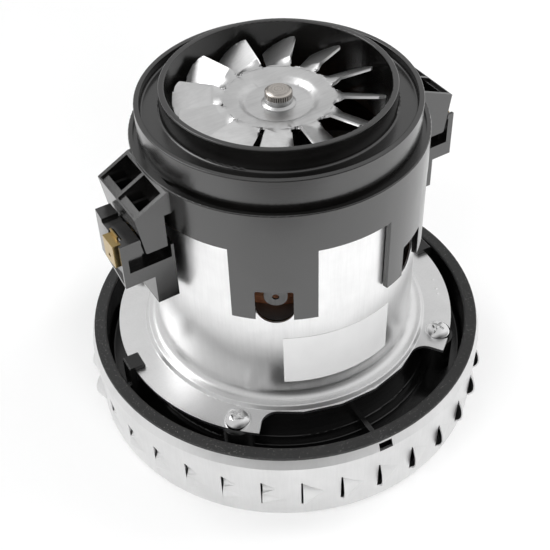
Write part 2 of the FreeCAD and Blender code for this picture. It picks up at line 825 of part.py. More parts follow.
def ball_bearing(prefix, low_text):
    """Outer ring, inner ring, balls, cage and shields of one bearing, standing on low_text."""
    low = value(low_text)
    wide = value("bearing_wide")
    middle = low + wide / 2
    pitch = value("(race_inner + race_outer) / 2")
    ball = value("ball_radius")
    groove = Part.makeTorus(pitch, ball + value("ball_play"), vector(0, 0, middle))
    outer = tube(value("race_outer"), value("bearing_outer"), low, low + wide).cut(groove)
    inner = tube(value("bearing_bore + shaft_fit"), value("race_inner"), low, low + wide).cut(groove)
    made(prefix + "_outer_ring", outer)
    made(prefix + "_inner_ring", inner)
    count = int(value("ball_count"))
    seat = Part.makeSphere(ball + value("ball_play"), vector(pitch, 0, middle))
    balls = copies_around(Part.makeSphere(ball, vector(pitch, 0, middle)), count)
    made(prefix + "_balls", Part.makeCompound(balls))
    half = value("cage_half")
    cage = tube(value("cage_inner"), value("cage_outer"), middle - half, middle + half)
    cage = cage.fuse(tube(value("cage_inner"), value("cage_outer"), middle + half, middle + half + 0.6))
    made(prefix + "_cage", cage.removeSplitter().cut(copies_around(seat, count)))
    thick = value("shield_thick")
    low_shield = tube(value("race_inner + shield_gap"), value("race_outer - 0.02"), low, low + thick)
    high_shield = low_shield.copy()
    high_shield.translate(vector(0, 0, wide - thick))
    made(prefix + "_shields", Part.makeCompound([low_shield, high_shield]))


def wave_washer():
    body = new_body("wave_washer")
    base = "bearing_high + bearing_wide"
    turned(body, "washer_ring", ring_corners("hub_lip + 0.4", "bearing_outer - 0.2", base, f"{base} + 0.5"))


# Top cover; the brush line's two ends are turned about the shaft axis

HOLDER_TURNS = {"left": "180 + brush_turn", "right": "brush_turn"}


def sector(half_text, reach_text):
    """Plan corners of a wedge about -Y with its point on the shaft axis."""
    return [
        ("0", "0"),
        (f"-({reach_text}) * sin({half_text})", f"-({reach_text}) * cos({half_text})"),
        ("0", f"-({reach_text}) * 2"),
        (f"({reach_text}) * sin({half_text})", f"-({reach_text}) * cos({half_text})"),
    ]


def top_cover():
    body = new_body("top_cover")
    groove_in = "ring_radius"
    groove_out = "ring_radius + groove_wide"
    under = "skirt_top - groove_deep - 1.6"
    turned(body, "cover_shell", [
        ("shroud_radius - shroud_wall", "shroud_low"),
        ("shroud_radius", "shroud_low"),
        ("shroud_radius", "channel_floor - channel_thick"),
        ("ring_radius - ring_wall", "channel_floor - channel_thick"),
        ("ring_radius - ring_wall", under),
        ("skirt_inner", under),
        ("skirt_inner", "leg_low"),
        ("skirt_radius", "leg_low"),
        ("skirt_radius", "skirt_top", "0.4"),
        (groove_out, "skirt_top"),
        (groove_out, "skirt_top - groove_deep"),
        (groove_in, "skirt_top - groove_deep"),
        (groove_in, "ring_top", "0.4"),
        ("ring_radius - ring_wall", "ring_top", "0.4"),
        ("ring_radius - ring_wall", "channel_floor", "0.8"),
        ("shroud_radius", "channel_floor", "1"),
        ("shroud_radius", "shroud_top", "0.5"),
        ("shroud_radius - shroud_wall", "shroud_top", "0.5"),
    ])
    reach = "skirt_radius + 6"
    narrow = sketch_in(body, "narrow_gap_plan", "XY_Plane",
                       [sector("leg_angle - leg_half_angle", reach)], offset="leg_low - 1")
    wide = sketch_in(body, "wide_gap_plan", "XY_Plane",
                     [sector("90 - leg_angle - leg_half_angle", reach)], offset="leg_low - 1", turn="90")
    gap_tall = "skirt_low - leg_low + 1"
    narrow_gaps = extruded(body, "narrow_gap", "PartDesign::Pocket", narrow, gap_tall, reverse=True)
    around(body, "narrow_gaps", [narrow_gaps], "2")
    wide_gaps = extruded(body, "wide_gap", "PartDesign::Pocket", wide, gap_tall, reverse=True)
    around(body, "wide_gaps", [wide_gaps], "2")
    for side, angle in enumerate(("-leg_angle", "leg_angle")):
        view = sketch_in(body, f"notch_view_{side}", "XZ_Plane", [[
            ("-notch_half_wide", "leg_low - 1"),
            ("notch_half_wide", "leg_low - 1"),
            ("notch_half_wide", "notch_top", "0.8"),
            ("-notch_half_wide", "notch_top", "0.8"),
        ]], turn=angle)
        pocket = extruded(body, f"notch_{side}", "PartDesign::Pocket", view, "skirt_radius + 5", True)
        around(body, f"notches_{side}", [pocket], "2")
    arm = sketch_in(body, "arm_plan", "XY_Plane", [[
        ("-arm_wide / 2", "-(shroud_radius - shroud_wall + 0.8)"),
        ("arm_wide / 2", "-(shroud_radius - shroud_wall + 0.8)"),
        ("arm_wide / 2", "-(bearing_outer + hub_wall - 0.8)"),
        ("-arm_wide / 2", "-(bearing_outer + hub_wall - 0.8)"),
    ]], offset="shroud_low")
    arms = extruded(body, "spider_arm", "PartDesign::Pad", arm, "arm_tall")
    around(body, "spider_arms", [arms], "arm_count")
    seat = "bearing_outer + bearing_seat_play"
    seat_top = "bearing_high + bearing_wide + 0.5"
    turned(body, "bearing_hub", [
        (seat, "bearing_high - 0.5"),
        ("bearing_outer + hub_wall", "bearing_high - 0.5"),
        ("bearing_outer + hub_wall", f"{seat_top} + 1.2"),
        ("hub_lip", f"{seat_top} + 1.2"),
        ("hub_lip", seat_top),
        (seat, seat_top),
    ])
    for side, turn in HOLDER_TURNS.items():
        brush_hood(body, side, turn)
    turned(body, "inner_clearance",
           ring_corners("ring_radius - ring_wall", "skirt_inner", "hood_low - 1", under),
           kind="PartDesign::Groove")


def brush_hood(body, side, turn):
    """The open-topped hood over one brush holder: two wells, each crossed by a low bar."""
    reach = f"hood_reach_{side}"
    foot = f"({reach} - hood_slope)"
    root = "skirt_inner - 1.3"

    def in_hood(name, kind, corners, start, length):
        view = sketch_in(body, f"{name}_view_{side}", "XZ_Plane", [corners], offset=start, turn=turn)
        return extruded(body, f"{name}_{side}", kind, view, length, reverse=kind == "PartDesign::Pocket")

    in_hood("hood", "PartDesign::Pad", [
        ("hood_slot_reach", "hood_low"),
        (foot, "hood_low", "0.8"),
        (reach, "hood_outer_top"),
        ("skirt_radius - 0.8", "hood_inner_top"),
        (root, "hood_inner_top"),
        (root, "hood_slot_top"),
        ("hood_slot_reach", "hood_slot_top"),
    ], "-hood_half_wide", "2 * hood_half_wide")
    fall = f"(hood_inner_top - hood_outer_top) / ({reach} - skirt_radius + 0.8)"
    inner_face = "hood_slot_reach + hood_wall * 0.7"
    step = "hood_slot_top + hood_wall"
    for well, start in enumerate(("-hood_half_wide + hood_wall", "hood_wall / 2")):
        in_hood(f"hood_well_{well}", "PartDesign::Pocket", [
            (inner_face, "hood_floor"),
            (f"{foot} - hood_wall", "hood_floor"),
            (f"{reach} - hood_ledge", f"hood_outer_top + {fall} * hood_ledge - hood_ledge_deep"),
            (f"{reach} - hood_rim", f"hood_outer_top + {fall} * hood_rim - hood_ledge_deep"),
            (f"{reach} - hood_rim", "hood_inner_top + 1"),
            ("skirt_radius + 0.3", "hood_inner_top + 1"),
            ("skirt_radius + 0.3", step),
            (inner_face, step),
        ], start, "hood_half_wide - 1.5 * hood_wall")
        in_hood(f"hood_bar_{well}", "PartDesign::Pad", [
            (f"{inner_face} - 0.5", "hood_bar_top - hood_bar_tall"),
            (f"{foot} - 0.4", "hood_bar_top - hood_bar_tall"),
            (f"{foot} - 0.4", "hood_bar_top"),
            (f"{inner_face} - 0.5", "hood_bar_top"),
        ], f"{start} + hood_bar_start", "hood_bar_wide")
    in_hood("hood_passage", "PartDesign::Pocket", [
        ("skirt_inner - 3", "hood_low - 1"),
        (f"{foot} + 2", "hood_low - 1"),
        (f"{foot} + 2", "hood_floor - 0.1"),
        ("skirt_inner - 3", "hood_floor - 0.1"),
    ], "-brush_wide / 2 - 1.6", "brush_wide + 3.2")


# Brush gear; each set is drawn at the +X side and turned into place

def brush_holder(side):
    """The black box of one brush, its window towards -Y, its end open round the terminal."""
    front = -value("holder_front")
    back = value("holder_back")
    reach = value(f"holder_reach_{side}")
    low = value("holder_low")
    top = value("holder_top")
    seat = value("hood_low")
    inner = value("holder_inner_reach")
    hood_foot = value(f"hood_reach_{side} - hood_slope + holder_play")
    lean = value("hood_slope / (hood_outer_top - hood_low)")
    points = [
        (inner, value("holder_foot")),
        (value("holder_foot_reach"), value("holder_foot")),
        (value("holder_foot_reach"), low),
        (reach, low),
        (reach, top),
        (hood_foot + lean * (top - seat), top),
        (hood_foot, seat),
        (inner, seat),
    ]
    flat = [vector(x, front, z) for x, z in points]
    solid = Part.Face(Part.makePolygon(flat + [flat[0]])).extrude(vector(0, back - front, 0))
    half_wide = value("brush_wide / 2 + brush_play + tube_wall + tube_play")
    half_tall = value("brush_tall / 2 + brush_play + tube_wall + tube_play")
    middle = value("tube_height")
    neck = value("neck_wall")
    solid = solid.fuse(box(value("frame_radius - 2 * frame_wall"), inner + neck, -half_wide - neck,
                           half_wide + neck, middle - half_tall - neck, seat)).removeSplitter()
    end = reach - value("holder_end_deep")
    clip = value(f"holder_reach_{side} + terminal_proud - terminal_deep") - 0.3
    clip_low = value("terminal_offset - terminal_wide / 2 - 0.2")
    clip_high = value("terminal_offset + terminal_wide / 2 + 0.2")
    window = (value("frame_radius + 1.9"), reach - value("holder_window_side"))
    window_low = value("holder_window_low")
    ledge = value("holder_window_ledge")
    rim = value("holder_rim")
    channel = (value("holder_channel_low"), value("holder_channel_high"))
    beyond = 5
    skirt = Part.makeCylinder(value("skirt_radius + 0.3"), 30, vector(0, 0, value("skirt_low - 0.3")))
    slope = value("holder_end_slope")
    chamfer = polygon_prism([
        vector(reach, front, low - beyond),
        vector(reach - slope, back, low - beyond),
        vector(reach - slope, back + beyond, low - beyond),
        vector(reach + beyond, back + beyond, low - beyond),
        vector(reach + beyond, front, low - beyond),
    ], 30)
    cuts = [
        skirt,
        chamfer,
        box(window[0], hood_foot, front - beyond, front + value("holder_window_deep"), window_low, ledge),
        box(*window, front - beyond, front + value("holder_window_shallow"), window_low, ledge),
        box(*window, front - beyond, front + value("holder_panel_deep"), ledge, value("holder_window_top")),
        box(end, reach + beyond, front + rim, back - rim, low + rim, top + beyond),
        box(hood_foot - beyond, reach + beyond, *channel, top - value("holder_channel_deep"), top + beyond),
        box(0, end - 1.2, -half_wide, half_wide, middle - half_tall, middle + half_tall),
        box(value("tube_outer_end + 0.3"), reach, clip_low, half_wide, value("terminal_low - 0.2"),
            value("terminal_low + 3.2")),
        box(clip, reach + beyond, clip_low, clip_high, value("terminal_low - 0.2"), top + beyond),
    ]
    place_holder_piece(f"brush_holder_{side}", solid.cut(cuts), side)


def place_holder_piece(label, solid, side):
    """Turn a piece drawn at the +X side into place; the left one is the mirror image."""
    if side == "left":
        solid = solid.mirror(ORIGIN, vector(0, 1, 0))
    made(label, solid, turn=HOLDER_TURNS[side])


def brush_tube(side):
    wide = value("brush_wide / 2 + brush_play")
    tall = value("brush_tall / 2 + brush_play")
    wall = value("tube_wall")
    middle = value("tube_height")
    start = value("tube_inner_end")
    end = value("tube_outer_end")
    outer = box(start, end, -wide - wall, wide + wall, middle - tall - wall, middle + tall + wall)
    inner = box(start - 1, end + 1, -wide, wide, middle - tall, middle + tall)
    made(f"brush_tube_{side}", outer.cut(inner), turn=HOLDER_TURNS[side])


def carbon_brush(side):
    """A carbon block whose inner end is hollowed to the commutator."""
    wide = value("brush_wide / 2")
    tall = value("brush_tall / 2")
    middle = value("tube_height")
    start = value("commutator_radius + brush_gap")
    block = box(start - 3, start + value("brush_long"), -wide, wide, middle - tall, middle + tall)
    face = Part.makeCylinder(start, 40, vector(0, 0, middle - 20))
    made(f"carbon_brush_{side}", block.cut(face), turn=HOLDER_TURNS[side])


def brush_spring(side):
    """A coil spring between the carbon and the terminal, its last turns laid flat."""
    start = value("commutator_radius + brush_gap + brush_long + 0.4")
    end = value("tube_outer_end - terminal_thick - 0.4")
    wire = value("spring_wire")
    radius = value("spring_radius")
    turns = int(value("spring_turns"))
    middle = value("tube_height")
    pitch = (end - start - 2 * wire) / turns
    steps = turns * 4
    edges = []
    for i in range(steps):
        spots = []
        for part in (0, 0.5, 1):
            angle = (i + part) * math.pi / 2
            spots.append(vector(start + wire + pitch * (i + part) / 4, radius * math.cos(angle),
                                middle + radius * math.sin(angle)))
        edges.append(Part.Arc(*spots).toShape())
    path = Part.Wire(edges)
    circle = Part.Circle(vector(start + wire, radius, middle), vector(pitch, 0, 2 * math.pi * radius), wire)
    coil = path.makePipeShell([Part.Wire(circle.toShape())], True, False)
    made(f"brush_spring_{side}", coil, turn=HOLDER_TURNS[side])


def brush_terminal(side):
    """Spring seat in the tube's mouth, a strip beside it and the folded outer clip."""
    thick = value("terminal_thick")
    seat_end = value("tube_outer_end")
    wide = value("brush_wide / 2 - 0.1")
    tall = value("brush_tall / 2 - 0.1")
    middle = value("tube_height")
    offset = value("terminal_offset")
    half = value("terminal_wide / 2")
    low = value("terminal_low")
    top = value("terminal_top")
    face = value(f"holder_reach_{side} + terminal_proud")
    inner = face - value("terminal_deep")
    strip = seat_end + 0.4
    seat = box(seat_end - thick, strip, -wide, wide, middle - tall, middle + tall)
    link = box(strip, strip + thick, offset - half, wide, low, low + 3)
    floor = box(strip, face, offset - half, offset - half + thick, low, low + 3)
    front = box(face - thick, face, offset - half, offset + half, low, top)
    roof = box(inner, face, offset - half, offset + half, top - thick, top)
    cheek = box(inner, face, offset - half, offset - half + thick, low, top)
    tongue = box(inner, inner + thick, offset - half * 0.4, offset + half, top - thick, top + 1.4)
    hole = Part.makeCylinder(value("terminal_hole"), 4, vector(face - 2, offset, low + 3), vector(1, 0, 0))
    solid = seat.fuse([link, floor, front, roof, cheek, tongue]).removeSplitter().cut(hole)
    place_holder_piece(f"brush_terminal_{side}", solid, side)


# Stator

def stator_core():
    low = value("core_low")
    high = value("core_high")
    tall = high - low
    yoke = value("yoke_inner")
    pole = value("pole_half")
    core = tube(value("stator_bore"), value("frame_radius - frame_wall - core_play"), low, high)
    slots = tube(value("pole_back"), yoke, low, high)
    left = slots.common(box(-yoke, -pole, -yoke, yoke, low, high))
    right = slots.common(box(pole, yoke, -yoke, yoke, low, high))
    gap = value("tip_gap / 2")
    mouths = Part.makeBox(2 * value("pole_back"), 2 * gap, tall, vector(-value("pole_back"), -gap, low))
    made("stator_core", core.cut([left, right, mouths]))


def field_coil(label, turn):
    """A saddle coil: its two sides lie in the core's slots and its ends arch over the pole."""
    play = value("coil_play")
    inner = value("pole_back") + play
    outer = value("yoke_inner") - play
    low = value("core_low - coil_end + 0.6")
    high = value("core_high + coil_end")
    half = math.radians(value("coil_half_angle"))
    shell = tube(inner, outer, low, high)
    far = outer * 3
    wedge = polygon_prism([
        vector(0, 0, low),
        vector(-far * math.sin(half), -far * math.cos(half), low),
        vector(0, -far * 2, low),
        vector(far * math.sin(half), -far * math.cos(half), low),
    ], high - low)
    coil = shell.common(wedge)
    neck = value("pole_half") + play
    window = box(-neck, neck, -outer - 1, 0, value("core_low") - play, value("core_high") + play)
    coil = coil.cut(window)
    corners = [edge for edge in coil.Edges if abs(edge.BoundBox.ZLength) < 0.01
               and (abs(edge.BoundBox.ZMin - high) < 0.01 or abs(edge.BoundBox.ZMin - low) < 0.01)
               and edge.Curve.TypeId == "Part::GeomCircle"]
    coil = coil.makeFillet(value("coil_round"), corners)
    made(label, coil, turn=turn)


def terminal_ring():
    body = new_body("terminal_ring")
    wall = "frame_radius - frame_wall - core_play"
    turned(body, "insulating_ring", ring_corners(
        f"{wall} - terminal_ring_wall", wall, "terminal_ring_low", "terminal_ring_low + terminal_ring_tall"))


def field_tabs():
    """Four flat tabs with a hole, hanging from the insulating ring behind the coil windows."""
    half = value("tab_wide / 2")
    radius = value("tab_radius")
    thick = value("tab_thick")
    low = value("tab_low")
    high = value("terminal_ring_low")
    tab = box(-half, half, -radius, -radius + thick, low + half, high)
    tip = Part.makeCylinder(half, thick, vector(0, -radius, low + half), vector(0, 1, 0))
    hole = Part.makeCylinder(value("tab_hole"), thick + 2, vector(0, -radius - 1, low + half),
                             vector(0, 1, 0))
    tab = tab.fuse(tip).removeSplitter().cut(hole)
    placed = []
    for angle in (-1, 1):
        for start in (0, 180):
            copy = tab.copy()
            copy.rotate(ORIGIN, UP, start + angle * value("window_angle"))
            placed.append(copy)
    made("field_tabs", Part.makeCompound(placed))


# Armature

def armature_shaft():
    body = new_body("armature_shaft")
    journal = "bearing_bore"
    lower = "bearing_low + bearing_wide + 0.1"
    upper = "bearing_high - 0.1"
    turned(body, "shaft_turning", [
        ("0", "shaft_low"),
        (journal, "shaft_low"),
        (journal, lower),
        ("shaft_body_radius", lower),
        ("shaft_body_radius", upper),
        (journal, upper),
        (journal, "fan_plate_top"),
        ("shaft_end_radius", "fan_plate_top"),
        ("shaft_end_radius", "shaft_top"),
        ("0", "shaft_top"),
    ])


def armature_core():
    body = new_body("armature_core")
    turned(body, "core_stack", ring_corners(
        "shaft_body_radius + shaft_fit", "armature_radius", "core_low", "core_high"))
    crown = "armature_radius - slot_bridge"
    slot = sketch_in(body, "core_slot_plan", "XY_Plane", [[
        ("-slot_mouth / 2", "-armature_radius - 1"),
        ("slot_mouth / 2", "-armature_radius - 1"),
        ("slot_mouth / 2", f"-({crown})"),
        ("slot_wide / 2", f"-({crown}) + 0.8"),
        ("slot_wide * 0.28", "-(armature_radius - slot_depth)"),
        ("-slot_wide * 0.28", "-(armature_radius - slot_depth)"),
        ("-slot_wide / 2", f"-({crown}) + 0.8"),
        ("-slot_mouth / 2", f"-({crown})"),
    ]], offset="core_high + 1")
    slots = extruded(body, "core_slot", "PartDesign::Pocket", slot, "core_high - core_low + 2")
    around(body, "core_slots", [slots], "slot_count")


def armature_winding():
    """The coils: each one a bar through its slot between a wedge of the upper and the lower head."""
    play = value("winding_play")
    inner = value("shaft_body_radius") + 1.2
    outer = value("winding_radius")
    sheet_top = value("core_high + end_sheet")
    sheet_low = value("core_low - end_sheet")
    rounding = value("winding_round")
    tall = value("winding_end")
    count = int(value("slot_count"))
    heads = []
    for low in (sheet_top, sheet_low - tall):
        head = tube(inner, outer, low, low + tall)
        rims = [edge for edge in head.Edges if edge.Curve.TypeId == "Part::GeomCircle"
                and edge.Curve.Radius > outer - 0.01]
        heads.append(head.makeFillet(rounding, rims))
    crown = value("armature_radius - slot_bridge") - 0.8 - play
    root = value("armature_radius - slot_depth") + play
    wide = value("slot_wide / 2") - play
    narrow = value("slot_wide * 0.28") - play
    bar = polygon_prism([
        vector(-wide + 0.1, -crown, sheet_low - 1),
        vector(wide - 0.1, -crown, sheet_low - 1),
        vector(narrow, -root, sheet_low - 1),
        vector(-narrow, -root, sheet_low - 1),
    ], sheet_top - sheet_low + 2)
    half_share = math.pi / count
    apart = value("coil_gap") / 2
    reach = outer + 1
    side = reach * math.tan(half_share) - apart / math.cos(half_share)
    wedge = polygon_prism([
        vector(0, -apart / math.sin(half_share), sheet_low - tall - 1),
        vector(side, -reach, sheet_low - tall - 1),
        vector(-side, -reach, sheet_low - tall - 1),
    ], sheet_top - sheet_low + 2 * tall + 2)
    coil = bar.fuse([head.common(wedge) for head in heads]).removeSplitter()
    made("armature_winding", Part.makeCompound(copies_around(coil, count)))


def end_insulators():
    """Two slotted sheets that keep the winding off the core's ends."""
    play = value("winding_play")
    sheets = []
    crown = value("armature_radius - slot_bridge") - 0.8 + 0.1
    root = value("armature_radius - slot_depth") - 0.1
    wide = value("slot_wide / 2") + play
    for low in (value("core_high"), value("core_low - end_sheet")):
        tall = value("end_sheet")
        plate = tube(value("shaft_body_radius + shaft_fit"), value("winding_radius"), low, low + tall)
        hole = box(-wide, wide, -crown - 4, -root, low - 1, low + tall + 1)
        sheets.append(plate.cut(copies_around(hole, int(value("slot_count")))))
    made("end_insulators", Part.makeCompound(sheets))


def commutator():
    hub = new_body("commutator_hub")
    turned(hub, "hub_moulding", ring_corners(
        "shaft_body_radius + shaft_fit", "commutator_hub", "commutator_low", "commutator_high"))
    low = value("commutator_low")
    high = value("commutator_high")
    hub_radius = value("commutator_hub")
    ring = tube(hub_radius, value("commutator_radius"), low, high)
    riser = tube(hub_radius, value("riser_radius"), low, low + value("riser_tall"))
    ring = ring.fuse(riser).removeSplitter()
    half = value("bar_gap / 2")
    gap = box(-half, half, -value("riser_radius") - 1, -hub_radius + 0.5, low - 1, high + 1)
    made("commutator_bars", ring.cut(copies_around(gap, int(value("bar_count")))))


# Impeller

def impeller():
    top = "impeller_top"
    plate_low = "impeller_top - impeller_plate"
    backplate = new_body("impeller_backplate")
    turned(backplate, "backplate_disc", ring_corners(
        "bearing_bore + shaft_fit", "impeller_radius", plate_low, top))
    shroud = new_body("impeller_shroud")
    eye = "eye_radius + casing_wall + impeller_eye_gap"
    shroud_corners = [
        (eye, "impeller_eye_low"),
        (f"{eye} + impeller_eye_wall", "impeller_eye_low"),
        (f"{eye} + impeller_eye_wall", "impeller_shroud_inner"),
        ("impeller_radius", "impeller_shroud_outer"),
        ("impeller_radius", "impeller_shroud_outer + impeller_shroud_thick"),
        (eye, "impeller_shroud_inner + impeller_shroud_thick"),
    ]
    turned(shroud, "shroud_disc", shroud_corners)
    impeller_blades(value(plate_low))
    spacer = new_body("impeller_spacer")
    turned(spacer, "spacer_turning", ring_corners(
        "bearing_bore + shaft_fit", "impeller_spacer_radius", top, "bearing_low"))
    washer = new_body("impeller_washer")
    turned(washer, "washer_disc", ring_corners(
        "bearing_bore + shaft_fit", "impeller_washer_radius",
        f"{plate_low} - impeller_washer_thick", plate_low))
    nut_top = value(f"{plate_low} - impeller_washer_thick")
    nut_tall = value("impeller_nut_tall")
    across = value("impeller_nut_flats") / 2 / math.cos(math.radians(30))
    corners = [vector(across * math.cos(math.radians(60 * i)), across * math.sin(math.radians(60 * i)),
                      nut_top - nut_tall) for i in range(6)]
    nut = polygon_prism(corners, nut_tall)
    bore = Part.makeCylinder(value("bearing_bore + shaft_fit"), 20, vector(0, 0, nut_top - 15))
    made("impeller_nut", nut.cut(bore))


def impeller_blades(top):
    """Backward-curved blades between the shroud's sloping face and the back plate."""
    inner = value("impeller_blade_inner")
    outer = value("impeller_radius - 1")
    half = value("impeller_blade_thick") / 2
    bow = value("impeller_blade_bow")
    low = value("impeller_eye_low")

    def spot(radius, lag):
        angle = math.radians(lag)
        return vector(radius * math.cos(angle), -radius * math.sin(angle), low)

    line = Part.Arc(spot(inner, 0), spot((inner + outer) / 2, bow), spot(outer, 3 * bow)).toShape()
    centre = line.Curve.Center
    middle = (line.FirstParameter + line.LastParameter) / 2
    spots = [line.valueAt(part) - centre for part in (line.FirstParameter, middle, line.LastParameter)]
    near, far = [[centre + spoke.normalize() * radius for spoke in spots]
                 for radius in (line.Curve.Radius - half, line.Curve.Radius + half)]
    wire = Part.Wire([
        Part.Arc(*near).toShape(),
        Part.LineSegment(near[2], far[2]).toShape(),
        Part.Arc(far[2], far[1], far[0]).toShape(),
        Part.LineSegment(far[0], near[0]).toShape(),
    ])
    blade = Part.Face(wire).extrude(vector(0, 0, top - low))
    shroud_inner = value("impeller_shroud_inner + impeller_shroud_thick")
    shroud_outer = value("impeller_shroud_outer + impeller_shroud_thick")
    eye = value("eye_radius + casing_wall + impeller_eye_gap")
    rim = value("impeller_radius")
    slope = (shroud_outer - shroud_inner) / (rim - eye)
    beyond = 5
    below = Part.Face(Part.makePolygon([
        vector(0, 0, low - 1),
        vector(rim + beyond, 0, low - 1),
        vector(rim + beyond, 0, shroud_outer + beyond * slope),
        vector(0, 0, shroud_inner - eye * slope),
        vector(0, 0, low - 1),
    ])).revolve(ORIGIN, UP, 360)
    blade = blade.cut(below)
    made("impeller_blades", Part.makeCompound(copies_around(blade, int(value("impeller_blade_count")))))


# Cooling fan, its spacer and collar, and the knurled cap on the shaft's end

def blade_section(radius, chord, pitch, height, thick):
    """A thin rectangle across the blade at one radius, leaning down towards its trailing side."""
    along = vector(math.cos(pitch), 0, -math.sin(pitch)) * (chord / 2)
    across = vector(math.sin(pitch), 0, math.cos(pitch)) * (thick / 2)
    middle = vector(0, -radius, height)
    corners = [middle - along - across, middle + along - across, middle + along + across,
               middle - along + across]
    return Part.makePolygon(corners + [corners[0]])


def cooling_fan():
    thick = value("fan_thick")
    top = value("fan_plate_top")
    flat = value("fan_flat_radius")
    rim = value("fan_rim_radius")
    rise = value("fan_rim_rise")
    bore = value("bearing_bore + shaft_fit")
    plate_points = [
        vector(bore, 0, top - thick),
        vector(flat, 0, top - thick),
        vector(flat + 3.2, 0, top - thick + rise * 0.75),
        vector(rim, 0, top - thick + rise),
        vector(rim, 0, top + rise),
        vector(flat + 3.0, 0, top + rise * 0.75),
        vector(flat - 0.2, 0, top),
        vector(bore, 0, top),
    ]
    plate = Part.Face(Part.makePolygon(plate_points + [plate_points[0]])).revolve(ORIGIN, UP, 360)
    height = top + rise - thick / 2
    pitch = math.radians(value("fan_blade_pitch"))
    root = value("fan_blade_root")
    chord = value("fan_blade_chord")
    outer = value("fan_radius")
    drop = value("fan_tip_drop")
    sections = [
        blade_section(rim - 0.8, root, 0.0, height, thick),
        blade_section(rim + 2.6, root + 0.8, pitch * 0.86, height, thick),
        blade_section(outer + 1, chord, pitch, height - drop, thick),
    ]
    blade = Part.makeLoft(sections, True, True)
    blade = blade.common(Part.makeCylinder(outer, 40, vector(0, 0, height - 20)))
    rounding = value("fan_tip_round")
    edge = chord / 2 * math.cos(pitch) - 0.2
    tip = -math.sqrt(outer ** 2 - edge ** 2)
    for side in (-1, 1):
        across = sorted((side * (edge - rounding), side * (edge + 4)))
        corner = box(*across, tip - 4, tip + rounding, height - 20, height + 20)
        middle = vector(side * (edge - rounding), tip + rounding, height - 20)
        blade = blade.cut(corner.cut(Part.makeCylinder(rounding, 40, middle)))
    count = int(value("fan_blade_count"))
    turn = value("fan_blade_turn")
    blades = copies_around(blade, count, turn)
    relief_foot = vector(0, -value("fan_relief_place"), height - 10)
    relief = Part.makeCylinder(value("fan_relief_radius"), 20, relief_foot)
    reliefs = copies_around(relief, count, turn + 180 / count)
    made("cooling_fan", plate.fuse(blades).removeSplitter().cut(reliefs))


def fan_fittings():
    bore = "bearing_bore + shaft_fit"
    spacer = new_body("fan_spacer")
    turned(spacer, "spacer_sleeve", ring_corners(
        bore, "fan_spacer_radius", "bearing_high + bearing_wide", "fan_plate_top - fan_thick"))
    collar = new_body("fan_collar")
    end_bore = "shaft_end_radius + shaft_fit"
    turned(collar, "collar_turning", [
        (end_bore, "fan_plate_top"),
        ("fan_collar_foot", "fan_plate_top"),
        ("fan_collar_foot", "fan_plate_top + fan_collar_foot_tall"),
        ("fan_collar_radius + 0.2", "fan_plate_top + fan_collar_flare_tall"),
        ("fan_collar_radius", "fan_plate_top + fan_collar_flare_tall"),
        ("fan_collar_radius", "fan_plate_top + fan_collar_tall", "0.3"),
        (end_bore, "fan_plate_top + fan_collar_tall"),
    ])
    cap = new_body("shaft_cap")
    foot = "fan_plate_top + fan_collar_tall"
    turned(cap, "cap_turning", [
        (end_bore, foot),
        ("cap_radius", foot),
        ("cap_radius", "cap_top - cap_bevel_tall"),
        ("cap_radius - cap_bevel", "cap_top"),
        ("0", "cap_top"),
        ("0", "shaft_top + 0.1"),
        (end_bore, "shaft_top + 0.1"),
    ])
    flute = sketch_in(cap, "flute_plan", "XY_Plane", [[
        ("-knurl_deep * 0.8", "-cap_radius - 0.2"),
        ("knurl_deep * 0.8", "-cap_radius - 0.2"),
        ("0", "-cap_radius + knurl_deep"),
    ]], offset=foot + " - 0.1")
    flutes = extruded(cap, "flute", "PartDesign::Pocket", flute, "knurl_tall", reverse=True)
    around(cap, "knurl", [flutes], "knurl_count")


def build_all():
    fan_casing()
    diffuser_housing()
    rim_gasket()
    motor_frame()
    frame_screws()
    rating_label()
    bearing_plate()
    ball_bearing("lower_bearing", "bearing_low")
    ball_bearing("upper_bearing", "bearing_high")
    wave_washer()
    top_cover()
    for side in HOLDER_TURNS:
        brush_holder(side)
        brush_tube(side)
        carbon_brush(side)
        brush_spring(side)
        brush_terminal(side)
    stator_core()
    field_coil("field_coil_front", "0")
    field_coil("field_coil_back", "180")
    terminal_ring()
    field_tabs()
    armature_shaft()
    armature_core()
    armature_winding()
    end_insulators()
    commutator()
    impeller()
    cooling_fan()
    fan_fittings()


def check_and_write():
    """Stop on any failed object or bad shape, then write one file for each sub-part."""
    for thing in doc.Objects:
        if "Invalid" in thing.State or "Error" in thing.State:
            raise RuntimeError(f"{thing.Name} failed: {thing.State}")
    for piece in pieces:
        if piece.Shape.isNull() or not piece.Shape.isValid():
            raise RuntimeError(f"{piece.Label} has no valid shape")
    os.makedirs("parts", exist_ok=True)
    for piece in pieces:
        piece.Shape.exportStep(f"parts/{piece.Label}.step")
        shape = piece.Shape
        print(f"{piece.Label:24s} solids {len(shape.Solids):3d} volume {shape.Volume:10.1f}")


build_all()
doc.recompute()
check_and_write()
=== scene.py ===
# %% [markdown]
# # A vacuum motor, dressed for a studio picture
#
# The CAD frame gives every rigid piece of the motor in its true place, in metres, with the shaft
# along Z. This lesson gives each piece its finish, adds the few pieces that are too fine for CAD,
# and sets up a plain studio. We start by loading the frame and keeping its box, so that at the end
# we can show that the dressed motor is still the same size.

import math

import bpy
from mathutils import Matrix, Vector


